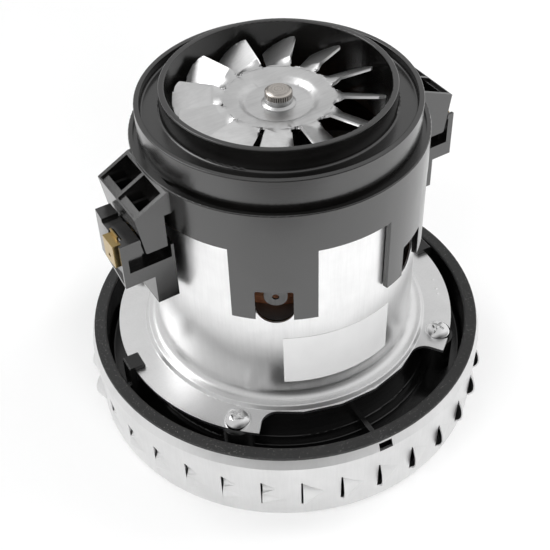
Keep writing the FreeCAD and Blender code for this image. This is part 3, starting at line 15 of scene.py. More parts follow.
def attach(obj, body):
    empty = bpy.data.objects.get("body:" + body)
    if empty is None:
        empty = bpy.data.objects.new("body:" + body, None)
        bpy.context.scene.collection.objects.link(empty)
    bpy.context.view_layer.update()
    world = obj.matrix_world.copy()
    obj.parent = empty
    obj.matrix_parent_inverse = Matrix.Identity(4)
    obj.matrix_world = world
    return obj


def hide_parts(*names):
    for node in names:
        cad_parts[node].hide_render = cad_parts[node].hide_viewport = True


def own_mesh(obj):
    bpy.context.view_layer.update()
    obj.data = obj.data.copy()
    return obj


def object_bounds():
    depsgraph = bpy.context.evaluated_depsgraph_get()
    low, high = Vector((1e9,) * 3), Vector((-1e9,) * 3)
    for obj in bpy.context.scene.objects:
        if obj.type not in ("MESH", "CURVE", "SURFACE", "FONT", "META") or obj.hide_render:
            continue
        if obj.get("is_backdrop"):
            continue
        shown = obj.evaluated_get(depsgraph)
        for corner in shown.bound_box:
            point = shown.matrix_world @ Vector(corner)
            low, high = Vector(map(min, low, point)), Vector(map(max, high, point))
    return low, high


MM = 0.001

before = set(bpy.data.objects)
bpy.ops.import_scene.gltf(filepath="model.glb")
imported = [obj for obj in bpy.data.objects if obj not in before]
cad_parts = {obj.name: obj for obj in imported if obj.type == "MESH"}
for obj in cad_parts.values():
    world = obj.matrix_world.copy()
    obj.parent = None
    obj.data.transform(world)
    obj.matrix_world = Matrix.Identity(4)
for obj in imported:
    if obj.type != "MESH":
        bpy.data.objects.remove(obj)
cad_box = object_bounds()
print("nodes:", len(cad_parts), "box:", [round(c / MM, 1) for corner in cad_box for c in corner])

# %% [markdown]
# ## The camera
#
# A product picture like this is taken with a short telephoto lens from above and to the left. We
# could aim a camera with a Track To constraint, but three plain angles say more: pan about the
# vertical, tilt below the horizon, and a slight roll, because the real camera wasn't quite level.

# %% Camera
CAMERA_PAN = math.radians(27.34)
CAMERA_TILT = math.radians(43.24)
CAMERA_ROLL = math.radians(-2.09)
CAMERA_PLACE = Vector((-130.2, -244.8, 309.6)) * MM
LENS = 67.36
SENSOR_WIDTH = 36.0
NEAREST, FARTHEST = 0.02, 20.0

forward = Vector((math.sin(CAMERA_PAN) * math.cos(CAMERA_TILT),
                  math.cos(CAMERA_PAN) * math.cos(CAMERA_TILT),
                  -math.sin(CAMERA_TILT)))
level = Vector((math.cos(CAMERA_PAN), -math.sin(CAMERA_PAN), 0))
above = level.cross(forward)
right = level * math.cos(CAMERA_ROLL) + above * math.sin(CAMERA_ROLL)
up = above * math.cos(CAMERA_ROLL) - level * math.sin(CAMERA_ROLL)

camera_data = bpy.data.cameras.new("studio_camera")
camera_data.lens = LENS
camera_data.sensor_width = SENSOR_WIDTH
camera_data.clip_start = NEAREST
camera_data.clip_end = FARTHEST
camera = bpy.data.objects.new("studio_camera", camera_data)
turned_axes = Matrix((right, up, -forward)).transposed()
camera.matrix_world = Matrix.Translation(CAMERA_PLACE) @ turned_axes.to_4x4()
bpy.context.scene.collection.objects.link(camera)
bpy.context.scene.camera = camera
print("camera stands", round(CAMERA_PLACE.length, 3), "m from the motor's foot")

# %% [markdown]
# ## Small helpers for node trees
#
# Every finish below is a node tree. Written out link by link, a tree is hard to read, so we make
# short helpers first. One adds a node, and one feeds a socket from a number or from another socket.
# The others each add one kind of node that comes up all the time: a sum, a span mapped onto another
# span, a colour between two others, and cloudy noise.

# %% Helpers for single nodes

def add_node(tree, kind, **settings):
    """A new node with its plain settings, such as operation or data_type."""
    made = tree.nodes.new(kind)
    for name, setting in settings.items():
        setattr(made, name, setting)
    return made


def feed(socket, source):
    """Give a socket a number or colour, or link it to another socket."""
    if isinstance(source, bpy.types.NodeSocket):
        socket.id_data.links.new(source, socket)
    else:
        socket.default_value = source


def sums(tree, operation, *values):
    """One Math node."""
    made = add_node(tree, "ShaderNodeMath", operation=operation)
    for socket, number in zip(made.inputs, values):
        feed(socket, number)
    return made.outputs[0]


def spread(tree, number, low, high, to_low=0.0, to_high=1.0):
    """Map the span low..high of a value onto another span, and hold it at the ends."""
    made = add_node(tree, "ShaderNodeMapRange")
    for name, part in (("Value", number), ("From Min", low), ("From Max", high),
                       ("To Min", to_low), ("To Max", to_high)):
        feed(made.inputs[name], part)
    return made.outputs["Result"]


# A Mix node names its number and its colour sockets alike, so the colour ones are picked by place
MIX_FIRST, MIX_SECOND, MIX_RESULT = 6, 7, 2


def tint(tree, share, dark, light):
    """A colour between two others."""
    made = add_node(tree, "ShaderNodeMix", data_type="RGBA")
    feed(made.inputs["Factor"], share)
    feed(made.inputs[MIX_FIRST], dark)
    feed(made.inputs[MIX_SECOND], light)
    return made.outputs[MIX_RESULT]


def noise(tree, place, scale, detail=2.0, roughness=0.5):
    """Cloudy noise; scale is in lumps per metre."""
    made = add_node(tree, "ShaderNodeTexNoise")
    feed(made.inputs["Vector"], place)
    feed(made.inputs["Scale"], scale)
    feed(made.inputs["Detail"], detail)
    feed(made.inputs["Roughness"], roughness)
    return made.outputs["Fac"]


print("single node helpers:", [helper.__name__ for helper in (add_node, feed, sums, spread, tint, noise)])

# %% [markdown]
# ## Helpers for node groups
#
# An effect that several finishes share is a node group: a small tree with named sockets, built once
# and placed in each material with that material's own values.

# %% Helpers for node groups
FLOAT = "NodeSocketFloat"
VECTOR = "NodeSocketVector"


def new_group(name, inputs, outputs):
    """An empty shader group with named sockets; inputs are (name, kind, default)."""
    group = bpy.data.node_groups.new(name, "ShaderNodeTree")
    for label, kind, default in inputs:
        socket = group.interface.new_socket(label, in_out="INPUT", socket_type=kind)
        if default is not None:
            socket.default_value = default
    for label, kind in outputs:
        group.interface.new_socket(label, in_out="OUTPUT", socket_type=kind)
    entry = group.nodes.new("NodeGroupInput")
    leave = group.nodes.new("NodeGroupOutput")
    return group, entry.outputs, leave.inputs


def use_group(tree, group, **values):
    """Place a group in a tree; a socket named Line Width is given as Line_Width."""
    made = add_node(tree, "ShaderNodeGroup", node_tree=group)
    for name, number in values.items():
        feed(made.inputs[name.replace("_", " ")], number)
    return made.outputs


print("group helpers:", new_group.__name__, use_group.__name__)

# %% [markdown]
# ## Moulded grain
#
# The cover, the brush holders and the diffuser housing are injection mouldings. Their skin is a
# fine, even texture that takes the edge off reflections, with slow clouds where the plastic
# flowed and cooled. Three layers of noise at different sizes do this: clouds of a centimetre or
# more, grain under a millimetre, and rare light specks of dust. The group puts out values only;
# each plastic decides how much of each it wants.

# %% Group: moulded grain
SWELL_SHARE = 0.8
DUST_START = 0.80
DUST_DROP = 0.12
DUST_GATHER = 0.12
DUST_EDGE = 0.02

grain, grain_in, grain_out = new_group(
    "moulded_grain",
    [("Place", VECTOR, None), ("Grain Scale", FLOAT, 1600.0), ("Dust", FLOAT, 0.2)],
    [("Cloud", FLOAT), ("Height", FLOAT), ("Speck", FLOAT)])
feed(grain_out["Cloud"], noise(grain, grain_in["Place"], scale=55.0, detail=3.0, roughness=0.55))
fine = noise(grain, grain_in["Place"], grain_in["Grain Scale"], detail=2.0, roughness=0.6)
swell = noise(grain, grain_in["Place"], scale=210.0, detail=1.0)
feed(grain_out["Height"], sums(grain, "MULTIPLY_ADD", swell, SWELL_SHARE, fine))
dust_lumps = noise(grain, grain_in["Place"], scale=2200.0, detail=1.0)
dust_patches = noise(grain, grain_in["Place"], scale=40.0, detail=2.0)
dust_level = sums(grain, "MULTIPLY_ADD", grain_in["Dust"], -DUST_DROP, DUST_START)
dusty = spread(grain, sums(grain, "MULTIPLY_ADD", dust_patches, DUST_GATHER, dust_lumps), dust_level,
               sums(grain, "ADD", dust_level, DUST_EDGE))
feed(grain_out["Speck"], dusty)
print("group", grain.name, "has", len(grain.nodes), "nodes")

# %% [markdown]
# ## Rolled and drawn sheet
#
# Sheet metal keeps the marks of the rolls and of the press that drew it: long fine lines one way,
# and slow bright and dull patches. We stretch noise along the line direction, which is cheaper and
# softer than drawing scratches, and add a few real scuffs by keeping only the peaks of a second
# noise, stretched the same way. `Stretch` is a vector, so one group serves the frame, whose lines
# run up and down, and the fan, whose lines run across the blank it was stamped from.

# %% Group: drawn sheet
SCUFF_PEAKS = (0.80, 0.88)
SCUFF_GATHER = 0.35

drawn, drawn_in, drawn_out = new_group(
    "drawn_sheet",
    [("Place", VECTOR, None), ("Stretch", VECTOR, (1.0, 1.0, 0.05)), ("Line Scale", FLOAT, 1400.0)],
    [("Lines", FLOAT), ("Patches", FLOAT), ("Scuffs", FLOAT)])
pulled = add_node(drawn, "ShaderNodeVectorMath", operation="MULTIPLY")
feed(pulled.inputs[0], drawn_in["Place"])
feed(pulled.inputs[1], drawn_in["Stretch"])
feed(drawn_out["Lines"], noise(drawn, pulled.outputs[0], drawn_in["Line Scale"], detail=3.0, roughness=0.65))
feed(drawn_out["Patches"], noise(drawn, drawn_in["Place"], scale=70.0, detail=4.0, roughness=0.6))
scratch = noise(drawn, pulled.outputs[0], scale=420.0, detail=6.0, roughness=0.75)
where = noise(drawn, drawn_in["Place"], scale=95.0, detail=2.0)
gathered = sums(drawn, "MULTIPLY_ADD", where, SCUFF_GATHER, scratch)
feed(drawn_out["Scuffs"], spread(drawn, gathered, *SCUFF_PEAKS))
print("group", drawn.name, "has", len(drawn.nodes), "nodes")

# %% [markdown]
# ## Turning marks
#
# The cap, the collar and the shaft come off a lathe, whose tool leaves a spiral so fine that it
# looks like circles. The distance from the shaft's axis, divided by the pitch and put through a
# sine, is exactly that; a little noise keeps it from looking printed. With a wider pitch the same
# group draws the wires of a coil.

# %% Group: turning marks
lathe, lathe_in, lathe_out = new_group(
    "turning_marks",
    [("Place", VECTOR, None), ("Pitch", FLOAT, 0.4 * MM)],
    [("Height", FLOAT), ("Shade", FLOAT)])
axes = add_node(lathe, "ShaderNodeSeparateXYZ")
feed(axes.inputs[0], lathe_in["Place"])
along_x, along_y, along_z = axes.outputs
reach_squared = sums(lathe, "MULTIPLY_ADD", along_x, along_x, sums(lathe, "MULTIPLY", along_y, along_y))
along_tool = sums(lathe, "ADD", sums(lathe, "SQRT", reach_squared), along_z)
turns = sums(lathe, "DIVIDE", along_tool, lathe_in["Pitch"])
wobble = noise(lathe, lathe_in["Place"], scale=600.0, detail=1.0)
wave = sums(lathe, "SINE", sums(lathe, "MULTIPLY", sums(lathe, "ADD", turns, wobble), 2 * math.pi))
feed(lathe_out["Height"], wave)
ring_place = add_node(lathe, "ShaderNodeCombineXYZ")
feed(ring_place.inputs[0], along_tool)
feed(lathe_out["Shade"], noise(lathe, ring_place.outputs[0], scale=2600.0, detail=2.0, roughness=0.6))
print("group", lathe.name, "has", len(lathe.nodes), "nodes")

# %% [markdown]
# ## The finishes
#
# Each finish starts from the same things: a material, its tree, its shader and the object's own
# coordinates, in metres. Object coordinates don't slide when the camera moves, and because every
# node of the frame sits at the origin, neighbours share them.

# %% Start of a finish

def new_finish(name, metallic, **plain):
    """A material with its shader; plain values that are the same all over go on its sockets."""
    material = bpy.data.materials.new(name)
    material.use_nodes = True
    tree = material.node_tree
    shader = tree.nodes["Principled BSDF"]
    shader.inputs["Metallic"].default_value = metallic
    for label, number in plain.items():
        shader.inputs[label.replace("_", " ")].default_value = number
    place = add_node(tree, "ShaderNodeTexCoord").outputs["Object"]
    return material, tree, shader, place


def press_in(tree, shader, height, depth):
    """Feed a height through a Bump node; depth is in metres."""
    bump = add_node(tree, "ShaderNodeBump")
    feed(bump.inputs["Strength"], 1.0)
    feed(bump.inputs["Distance"], depth)
    feed(bump.inputs["Height"], height)
    feed(shader.inputs["Normal"], bump.outputs[0])


def grey(level, warmth=0.0):
    """A colour with alpha, near grey; positive warmth leans it to yellow."""
    return (level * (1 + warmth), level, level * (1 - warmth), 1.0)


print("a plain mid grey is", grey(0.5))

# %% [markdown]
# ### Three ways to make a finish
#
# Nearly every piece is moulded, made of sheet, or turned. Each of the next three functions lays one
# of the groups into a material: it tints the colour between two shades, lets the roughness follow,
# and presses the marks into the surface with a shallow bump.

# %% Moulded finish
SPECK_COLOUR = (0.45, 0.44, 0.42, 1.0)
SPECK_SHARE = 0.5
SPECK_ROUGHER = 0.3
CLOUD_ROUGHER = 0.05


def moulded(name, dark, light, roughness, dust=0.2, grain_scale=1600.0, depth=0.04 * MM, shine=0.5, bend=1.5):
    """Injection-moulded plastic or rubber; shine is the specular level and bend the index of refraction."""
    material, tree, shader, place = new_finish(name, 0.0, Specular_IOR_Level=shine, IOR=bend)
    skin = use_group(tree, grain, Place=place, Grain_Scale=grain_scale, Dust=dust)
    cloud = spread(tree, skin["Cloud"], 0.3, 0.7)
    base = tint(tree, cloud, dark, light)
    soft = spread(tree, cloud, 0.0, 1.0, roughness - CLOUD_ROUGHER, roughness + CLOUD_ROUGHER)
    if dust:
        base = tint(tree, sums(tree, "MULTIPLY", skin["Speck"], SPECK_SHARE), base, SPECK_COLOUR)
        soft = sums(tree, "MULTIPLY_ADD", skin["Speck"], SPECK_ROUGHER, soft)
    feed(shader.inputs["Base Color"], base)
    feed(shader.inputs["Roughness"], soft)
    press_in(tree, shader, skin["Height"], depth)
    return material


print("moulded finishes hold specks of", SPECK_COLOUR[:3])

# %% Sheet metal finish
LINE_SHARE = 0.4
SCUFF_ROUGHER = 0.3


def sheet_metal(name, dull, bright, roughness, stretch, uneven=0.06, scuffed=0.4, depth=0.006 * MM,
                line_scale=1400.0):
    """Rolled or drawn sheet: lines along the stretch, dull and bright patches, a few scuffs."""
    material, tree, shader, place = new_finish(name, 1.0)
    marks = use_group(tree, drawn, Place=place, Stretch=stretch, Line_Scale=line_scale)
    patch = spread(tree, marks["Patches"], 0.32, 0.68)
    line = spread(tree, marks["Lines"], 0.3, 0.7)
    patch_part = sums(tree, "MULTIPLY", patch, 1 - LINE_SHARE)
    shade = sums(tree, "MULTIPLY_ADD", line, LINE_SHARE, patch_part)
    feed(shader.inputs["Base Color"], tint(tree, shade, dull, bright))
    rough = spread(tree, shade, 0.0, 1.0, roughness + uneven, roughness - uneven)
    scuff_part = scuffed * SCUFF_ROUGHER
    feed(shader.inputs["Roughness"], sums(tree, "MULTIPLY_ADD", marks["Scuffs"], scuff_part, rough))
    press_in(tree, shader, sums(tree, "MULTIPLY_ADD", marks["Scuffs"], -scuffed, line), depth)
    return material


print("lines make", LINE_SHARE, "of a sheet's shade")

# %% Turned finish
RING_ROUGHER = 0.06
RING_SMOOTHER = 0.04


def lathe_turned(name, dull, bright, roughness, pitch=0.4 * MM, depth=0.004 * MM, brushed=0.0):
    """Metal turned on a lathe about the motor's shaft; brushed stretches its highlights."""
    material, tree, shader, place = new_finish(name, 1.0, Anisotropic=brushed)
    marks = use_group(tree, lathe, Place=place, Pitch=pitch)
    shade = spread(tree, marks["Shade"], 0.35, 0.65)
    feed(shader.inputs["Base Color"], tint(tree, shade, dull, bright))
    rough = spread(tree, shade, 0.0, 1.0, roughness + RING_ROUGHER, roughness - RING_SMOOTHER)
    feed(shader.inputs["Roughness"], rough)
    press_in(tree, shader, marks["Height"], depth)
    return material


print("turned rings vary in roughness by", round(RING_ROUGHER + RING_SMOOTHER, 2))

# %% [markdown]
# ### Plastics and rubber
#
# Three blacks that aren't the same: the cover is a glossy black with strong, slightly soft
# reflections, the housing below it is as dark but shines less, and the rim gasket is matte rubber
# that holds dust.

# %% Plastic and rubber finishes
cover_plastic = moulded("cover_plastic", grey(0.003, 0.05), grey(0.007, 0.05), roughness=0.21, dust=0.0,
                        depth=0.015 * MM, shine=0.85, bend=1.62)
housing_plastic = moulded("housing_plastic", grey(0.003), grey(0.006), roughness=0.22, dust=0.0,
                          depth=0.02 * MM, shine=0.6)
gasket_rubber = moulded("gasket_rubber", grey(0.014), grey(0.024), roughness=0.62, dust=0.3,
                        grain_scale=900.0, depth=0.09 * MM)
board = moulded("insulating_board", (0.42, 0.38, 0.28, 1.0), (0.55, 0.50, 0.38, 1.0), roughness=0.7)
resin = moulded("brown_resin", (0.05, 0.02, 0.012, 1.0), (0.09, 0.035, 0.02, 1.0), roughness=0.4)
carbon = moulded("brush_carbon", grey(0.018), grey(0.035), roughness=0.75, grain_scale=2400.0)
print("moulded:", [skin.name for skin in (cover_plastic, housing_plastic, gasket_rubber, board, resin,
                                          carbon)])

# %% [markdown]
# ### Sheet metals
#
# The fan casing is plain aluminium, and the motor frame is zinc-plated steel, brighter and
# smoother. Both keep the faint upright lines of the press that drew them. The fan was stamped flat
# from rolled strip, so all its lines run one way, whatever way a blade points.

# %% Sheet metal finishes
UPRIGHT = (1.0, 1.0, 0.06)
ACROSS = (0.05, 1.0, 1.0)
EDGE_ON = (0.05, 0.05, 1.0)
ANY_WAY = (1.0, 1.0, 1.0)

casing_sheet = sheet_metal("casing_aluminium", grey(0.62), grey(0.68), roughness=0.36, stretch=UPRIGHT,
                           scuffed=0.2)
frame_steel = sheet_metal("zinc_frame", grey(0.82), grey(0.93), roughness=0.33, stretch=UPRIGHT, uneven=0.04,
                          scuffed=0.2, depth=0.002 * MM)
plate_steel = sheet_metal("zinc_plate", grey(0.62), grey(0.78), roughness=0.36, stretch=ACROSS)
fan_sheet = sheet_metal("fan_aluminium", grey(0.62), grey(0.80), roughness=0.34, stretch=ACROSS, uneven=0.05,
                        line_scale=1000.0)
impeller_sheet = sheet_metal("impeller_aluminium", grey(0.76), grey(0.88), roughness=0.33, stretch=ACROSS)
tab_metal = sheet_metal("tinned_tab", grey(0.10), grey(0.20), roughness=0.42, stretch=UPRIGHT)
clip_brass = sheet_metal("clip_brass", (0.35, 0.25, 0.10, 1.0), (0.48, 0.36, 0.17, 1.0), roughness=0.30,
                         stretch=UPRIGHT)
tube_brass = sheet_metal("tube_brass", (0.50, 0.34, 0.13, 1.0), (0.74, 0.55, 0.25, 1.0), roughness=0.34,
                         stretch=ACROSS)
stacked_sheets = sheet_metal("stacked_sheets", grey(0.16), grey(0.30), roughness=0.5, stretch=EDGE_ON,
                             depth=0.05 * MM, line_scale=1800.0)
print("sheet:", [skin.name for skin in (casing_sheet, frame_steel, plate_steel, fan_sheet, impeller_sheet,
                                        tab_metal, clip_brass, tube_brass, stacked_sheets)])

# %% [markdown]
# ### Bright and turned metals
#
# The screws are bright plated and nearly clean. The cap and the collar on the shaft's end show the
# turning tool, and their highlights are drawn out round the axis, as on any turned end.

# %% Bright and turned finishes
screw_plate = sheet_metal("screw_plating", grey(0.84), grey(0.92), roughness=0.14, stretch=ANY_WAY,
                          uneven=0.02, scuffed=0.3, depth=0.002 * MM)
turned_steel = lathe_turned("turned_steel", grey(0.38, 0.06), grey(0.64, 0.06), roughness=0.24,
                            pitch=0.25 * MM, depth=0.008 * MM)
turned_collar = lathe_turned("turned_collar", grey(0.54), grey(0.64), roughness=0.26, brushed=0.5)
cap_steel = lathe_turned("cap_steel", grey(0.34, 0.07), grey(0.66, 0.07), roughness=0.26, pitch=0.25 * MM,
                         depth=0.008 * MM, brushed=0.8)
bearing_steel = lathe_turned("bearing_steel", grey(0.55), grey(0.68), roughness=0.14, pitch=0.7 * MM)
spring_wire = sheet_metal("spring_wire", grey(0.40), grey(0.55), roughness=0.3, stretch=ANY_WAY)
commutator_copper = lathe_turned("commutator_copper", (0.55, 0.24, 0.11, 1.0), (0.80, 0.42, 0.24, 1.0),
                                 roughness=0.3)
print("turned:", [skin.name for skin in (turned_steel, turned_collar, cap_steel, bearing_steel,
                                         commutator_copper)])

# %% [markdown]
# ### Coils and the label
#
# The coils are enamelled copper wire: dark, warm and glossy, so they get a metal under a clear coat.
# The rating label is a pale satin film. A film that thin shows the faint waviness of its glue, so
# its bump is slow and shallow.

# %% Coil and label finishes
COPPER_DARK = (0.46, 0.17, 0.09, 1.0)
COPPER_LIGHT = (0.72, 0.32, 0.17, 1.0)
WIRE_PITCH = 0.9 * MM
WIRE_DEPTH = 0.06 * MM
GLUE_DEPTH = 0.06 * MM


def enamelled_copper():
    """Copper under amber enamel: a warm metal with a clear coat."""
    material, tree, shader, place = new_finish("enamelled_copper", 0.6, Coat_Weight=0.6,
                                               Coat_Roughness=0.12)
    patch = spread(tree, noise(tree, place, scale=400.0, detail=2.0), 0.3, 0.7)
    feed(shader.inputs["Base Color"], tint(tree, patch, COPPER_DARK, COPPER_LIGHT))
    feed(shader.inputs["Roughness"], spread(tree, patch, 0.0, 1.0, to_low=0.40, to_high=0.30))
    wires = use_group(tree, lathe, Place=place, Pitch=WIRE_PITCH)
    press_in(tree, shader, wires["Height"], WIRE_DEPTH)
    return material


def label_film():
    """A pale satin film, slightly wavy from its glue."""
    material, tree, shader, place = new_finish("label_film", 0.0, IOR=1.5)
    patch = noise(tree, place, scale=120.0, detail=3.0)
    feed(shader.inputs["Base Color"], tint(tree, patch, grey(0.70), grey(0.78)))
    feed(shader.inputs["Roughness"], spread(tree, patch, 0.3, 0.7, to_low=0.30, to_high=0.38))
    press_in(tree, shader, noise(tree, place, scale=150.0, detail=1.0), GLUE_DEPTH)
    return material


coil_copper = enamelled_copper()
label_skin = label_film()
print("made", coil_copper.name, "and", label_skin.name)

# %% [markdown]
# ### Painted shade in hidden places
#
# The inside wall of the can and the grooves of the knurl on the shaft's end lie in shade, so a
# dark, dull colour is painted on there as painted shade. Each of these pieces has one material, so
# we tell where the painted shade goes by the place of the point: how far it is from the shaft, and
# how high.

# %% Painted shade
PAINTED_SHADE_EDGE = 0.1 * MM


def band(tree, number, span):
    """1 between the two ends of a span in millimetres, 0 outside, with soft edges."""
    low, high = span[0] * MM, span[1] * MM
    return sums(tree, "MULTIPLY", spread(tree, number, low - PAINTED_SHADE_EDGE, low),
                spread(tree, number, high, high + PAINTED_SHADE_EDGE, to_low=1.0, to_high=0.0))


def add_painted_shade(material, reach_span, height_span, colour, rougher):
    """Paint shade: darken and dull a finish where the reach from the shaft and the height lie in their spans.
    """
    tree = material.node_tree
    shader = tree.nodes["Principled BSDF"]
    place = add_node(tree, "ShaderNodeTexCoord").outputs["Object"]
    spot = add_node(tree, "ShaderNodeSeparateXYZ")
    feed(spot.inputs[0], place)
    flat = add_node(tree, "ShaderNodeCombineXYZ")
    feed(flat.inputs[0], spot.outputs[0])
    feed(flat.inputs[1], spot.outputs[1])
    reach = add_node(tree, "ShaderNodeVectorMath", operation="LENGTH")
    feed(reach.inputs[0], flat.outputs[0])
    # film is the painted shade's mask: 1 where both the reach and the height lie in their spans
    film = sums(tree, "MULTIPLY", band(tree, reach.outputs["Value"], reach_span),
                band(tree, spot.outputs[2], height_span))
    metal = shader.inputs["Base Color"].links[0].from_socket
    rough = shader.inputs["Roughness"].links[0].from_socket
    feed(shader.inputs["Base Color"], tint(tree, film, metal, colour))
    feed(shader.inputs["Roughness"], sums(tree, "MULTIPLY_ADD", film, rougher, rough))
    print("film on", material.name, "at", reach_span, "mm from the shaft,", height_span, "mm up")


# painted shade on the inside wall of the can, where the frame lies in shade
add_painted_shade(frame_steel, reach_span=(38.0, 46.1), height_span=(42.0, 106.0),
         colour=(0.035, 0.022, 0.015, 1.0), rougher=0.3)
# painted shade in the grooves of the knurl on the shaft's end cap
add_painted_shade(cap_steel, reach_span=(3.9, 4.36), height_span=(127.0, 128.9),
         colour=(0.03, 0.025, 0.02, 1.0), rougher=0.2)

# %% [markdown]
# ## Dress the frame
#
# Each CAD node keeps its mesh and gets one finish. The table reads finish by finish, because pieces
# that were made of the same stock should look as if they were.

# %% Finishes for the nodes
NODE_FINISHES = {
    casing_sheet: ["fan_casing"],
    housing_plastic: ["diffuser_housing", "terminal_ring"],
    gasket_rubber: ["rim_gasket"],
    frame_steel: ["motor_frame"],
    plate_steel: ["bearing_plate"],
    screw_plate: ["frame_screws"],
    label_skin: ["rating_label"],
    cover_plastic: ["top_cover", "brush_holder_left", "brush_holder_right"],
    bearing_steel: [f"{end}_bearing_{piece}" for end in ("lower", "upper")
                    for piece in ("outer_ring", "inner_ring", "balls", "shields")],
    tube_brass: ["lower_bearing_cage", "upper_bearing_cage", "brush_tube_left", "brush_tube_right"],
    clip_brass: ["brush_terminal_left", "brush_terminal_right"],
    carbon: ["carbon_brush_left", "carbon_brush_right"],
    spring_wire: ["brush_spring_left", "brush_spring_right", "wave_washer"],
    stacked_sheets: ["stator_core", "armature_core"],
    coil_copper: ["field_coil_front", "field_coil_back", "armature_winding"],
    board: ["end_insulators"],
    tab_metal: ["field_tabs"],
    resin: ["commutator_hub"],
    commutator_copper: ["commutator_bars"],
    turned_steel: ["armature_shaft", "impeller_spacer", "impeller_washer", "impeller_nut", "fan_spacer"],
    cap_steel: ["shaft_cap"],
    turned_collar: ["fan_collar"],
    impeller_sheet: ["impeller_backplate", "impeller_shroud", "impeller_blades"],
    fan_sheet: ["cooling_fan"],
}

for finish, names in NODE_FINISHES.items():
    for name in names:
        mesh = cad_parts[name].data
        mesh.materials.clear()
        mesh.materials.append(finish)
dressed = sum(len(names) for names in NODE_FINISHES.values())
print("dressed", dressed, "of", len(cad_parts), "nodes")

# %% [markdown]
# ## Rounded edges
#
# CAD edges are perfectly sharp, and nothing real is, so the pieces that show most get a small
# bevel. A bevel needs a joined mesh without the triangles' inner edges, so a Weld and a planar
# Decimate come before it, and a Weighted Normal after it keeps the flat faces flat.

# %% Rounded edges
EDGE_ROUNDS = {
    "top_cover": 0.25, "brush_holder_left": 0.25, "brush_holder_right": 0.25, "diffuser_housing": 0.25,
    "motor_frame": 0.12, "cooling_fan": 0.10, "brush_terminal_left": 0.08, "brush_terminal_right": 0.08,
    "field_tabs": 0.08, "frame_screws": 0.12, "rim_gasket": 0.15,
}
WELD_REACH = 0.002 * MM
FLAT_WITHIN = math.radians(0.3)
SHARP_FROM = math.radians(32)
ROUND_STEPS = 2


def soften(name, width):
    """Round a node's edges; width is in millimetres."""
    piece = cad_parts[name]
    mesh = piece.data
    mesh.polygons.foreach_set("use_smooth", [True] * len(mesh.polygons))
    weld = piece.modifiers.new("join", "WELD")
    weld.merge_threshold = WELD_REACH
    merge = piece.modifiers.new("merge_flats", "DECIMATE")
    merge.decimate_type = "DISSOLVE"
    merge.angle_limit = FLAT_WITHIN
    bevel = piece.modifiers.new("round", "BEVEL")
    bevel.width = width * MM
    bevel.segments = ROUND_STEPS
    bevel.limit_method = "ANGLE"
    bevel.angle_limit = SHARP_FROM
    bevel.use_clamp_overlap = True
    steady = piece.modifiers.new("steady_light", "WEIGHTED_NORMAL")
    steady.keep_sharp = True


for name, width in EDGE_ROUNDS.items():
    soften(name, width)
print("rounded the edges of", len(EDGE_ROUNDS), "nodes")

# %% [markdown]
# ## Painted glints on the flange
#
# Three small punched marks beside one screw show as white glints. They are too small for CAD, so each
# glint is painted on as a pale, flattened bead, sunk a little into the flange.

# %% Painted glints
FLANGE_TOP = 34.0 * MM
DOT_RADIUS = 0.6 * MM
DOT_REACH = 58.5 * MM
DOT_SIDES = 16
# The peak, and each ring's radius and height, are shares of the dot's radius
DOT_PEAK = 0.36
DOT_RINGS = ((0.45, 0.30), (1.0, -0.05))
DOT_TURNS = (-17.5, -22.5, -25.1)


def painted_glint(name, turn):
    """A pale flattened bead on the flange, a painted glint; turn is in degrees from the X axis."""
    mesh = bpy.data.meshes.new(name)
    steps = [2 * math.pi * i / DOT_SIDES for i in range(DOT_SIDES)]
    spots = [(0.0, 0.0, DOT_PEAK)]
    for share, rise in DOT_RINGS:
        spots += [(share * math.cos(step), share * math.sin(step), rise) for step in steps]
    faces = []
    for i in range(DOT_SIDES):
        here, after = 1 + i, 1 + (i + 1) % DOT_SIDES
        faces.append((0, here, after))
        faces.append((here, here + DOT_SIDES, after + DOT_SIDES, after))
    mesh.from_pydata([tuple(c * DOT_RADIUS for c in spot) for spot in spots], [], faces)
    mesh.polygons.foreach_set("use_smooth", [True] * len(mesh.polygons))
    # the pale label film paints the glint of a punched mark
    mesh.materials.append(label_skin)
    dot = bpy.data.objects.new(name, mesh)
    angle = math.radians(turn)
    dot.location = (DOT_REACH * math.cos(angle), DOT_REACH * math.sin(angle), FLANGE_TOP)
    bpy.context.scene.collection.objects.link(dot)
    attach(dot, "base")


for number, turn in enumerate(DOT_TURNS):
    painted_glint(f"painted_glint_{number}", turn)
print("put", len(DOT_TURNS), "dots on the flange")

# %% [markdown]
# ## The brush springs
#
# A coil spring holds each carbon brush on the commutator. When the brush moves outwards, its spring
# gets shorter, which a rigid node can't do. A copy of each spring stands for the node and stays with
# the base; it keeps the node's shape.


def closing_spring(side):
    """The spring of one brush, copied to stand for its node and stay with the base."""
    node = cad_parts[f"brush_spring_{side}"]
    mesh = node.data.copy()
    spring = bpy.data.objects.new(f"closing_spring_{side}", mesh)
    bpy.context.scene.collection.objects.link(spring)
    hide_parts(node.name)
    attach(spring, "base")
    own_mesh(spring)


closing_spring("left")
closing_spring("right")

# %% [markdown]
# ## The studio
#
# Bright metal shows whatever stands round it, so what it mirrors matters more than the lamps. Here
# that is a white floor below, a pale room behind, a paler card at the right, and a black flag in
# front that draws the dark bands on the neck of the frame and on the crimped rim. The sky makes the
# room, the card and the flag for shiny surfaces only. It stays white for the camera, and lights
# soft surfaces at a plain level.

# %% Sky
ROOM_LEVEL = 0.62
FLAG_WAY = (0.05, -0.92, -0.38)
FLAG_LEVEL = 0.06
FLAG_EDGE = (0.10, 0.62)
CARD_WAY = (0.95, -0.30, 0.0)
CARD_LEVEL = 0.22
CARD_EDGE = (0.1, 0.7)
SOFT_LIGHT = 0.5
WHITE = (1.0, 1.0, 1.0, 1.0)

world = bpy.data.worlds.new("studio_sky")
bpy.context.scene.world = world
world.use_nodes = True
sky = world.node_tree
sky.nodes.clear()
sky_rays = add_node(sky, "ShaderNodeLightPath").outputs
direction = add_node(sky, "ShaderNodeTexCoord").outputs["Generated"]


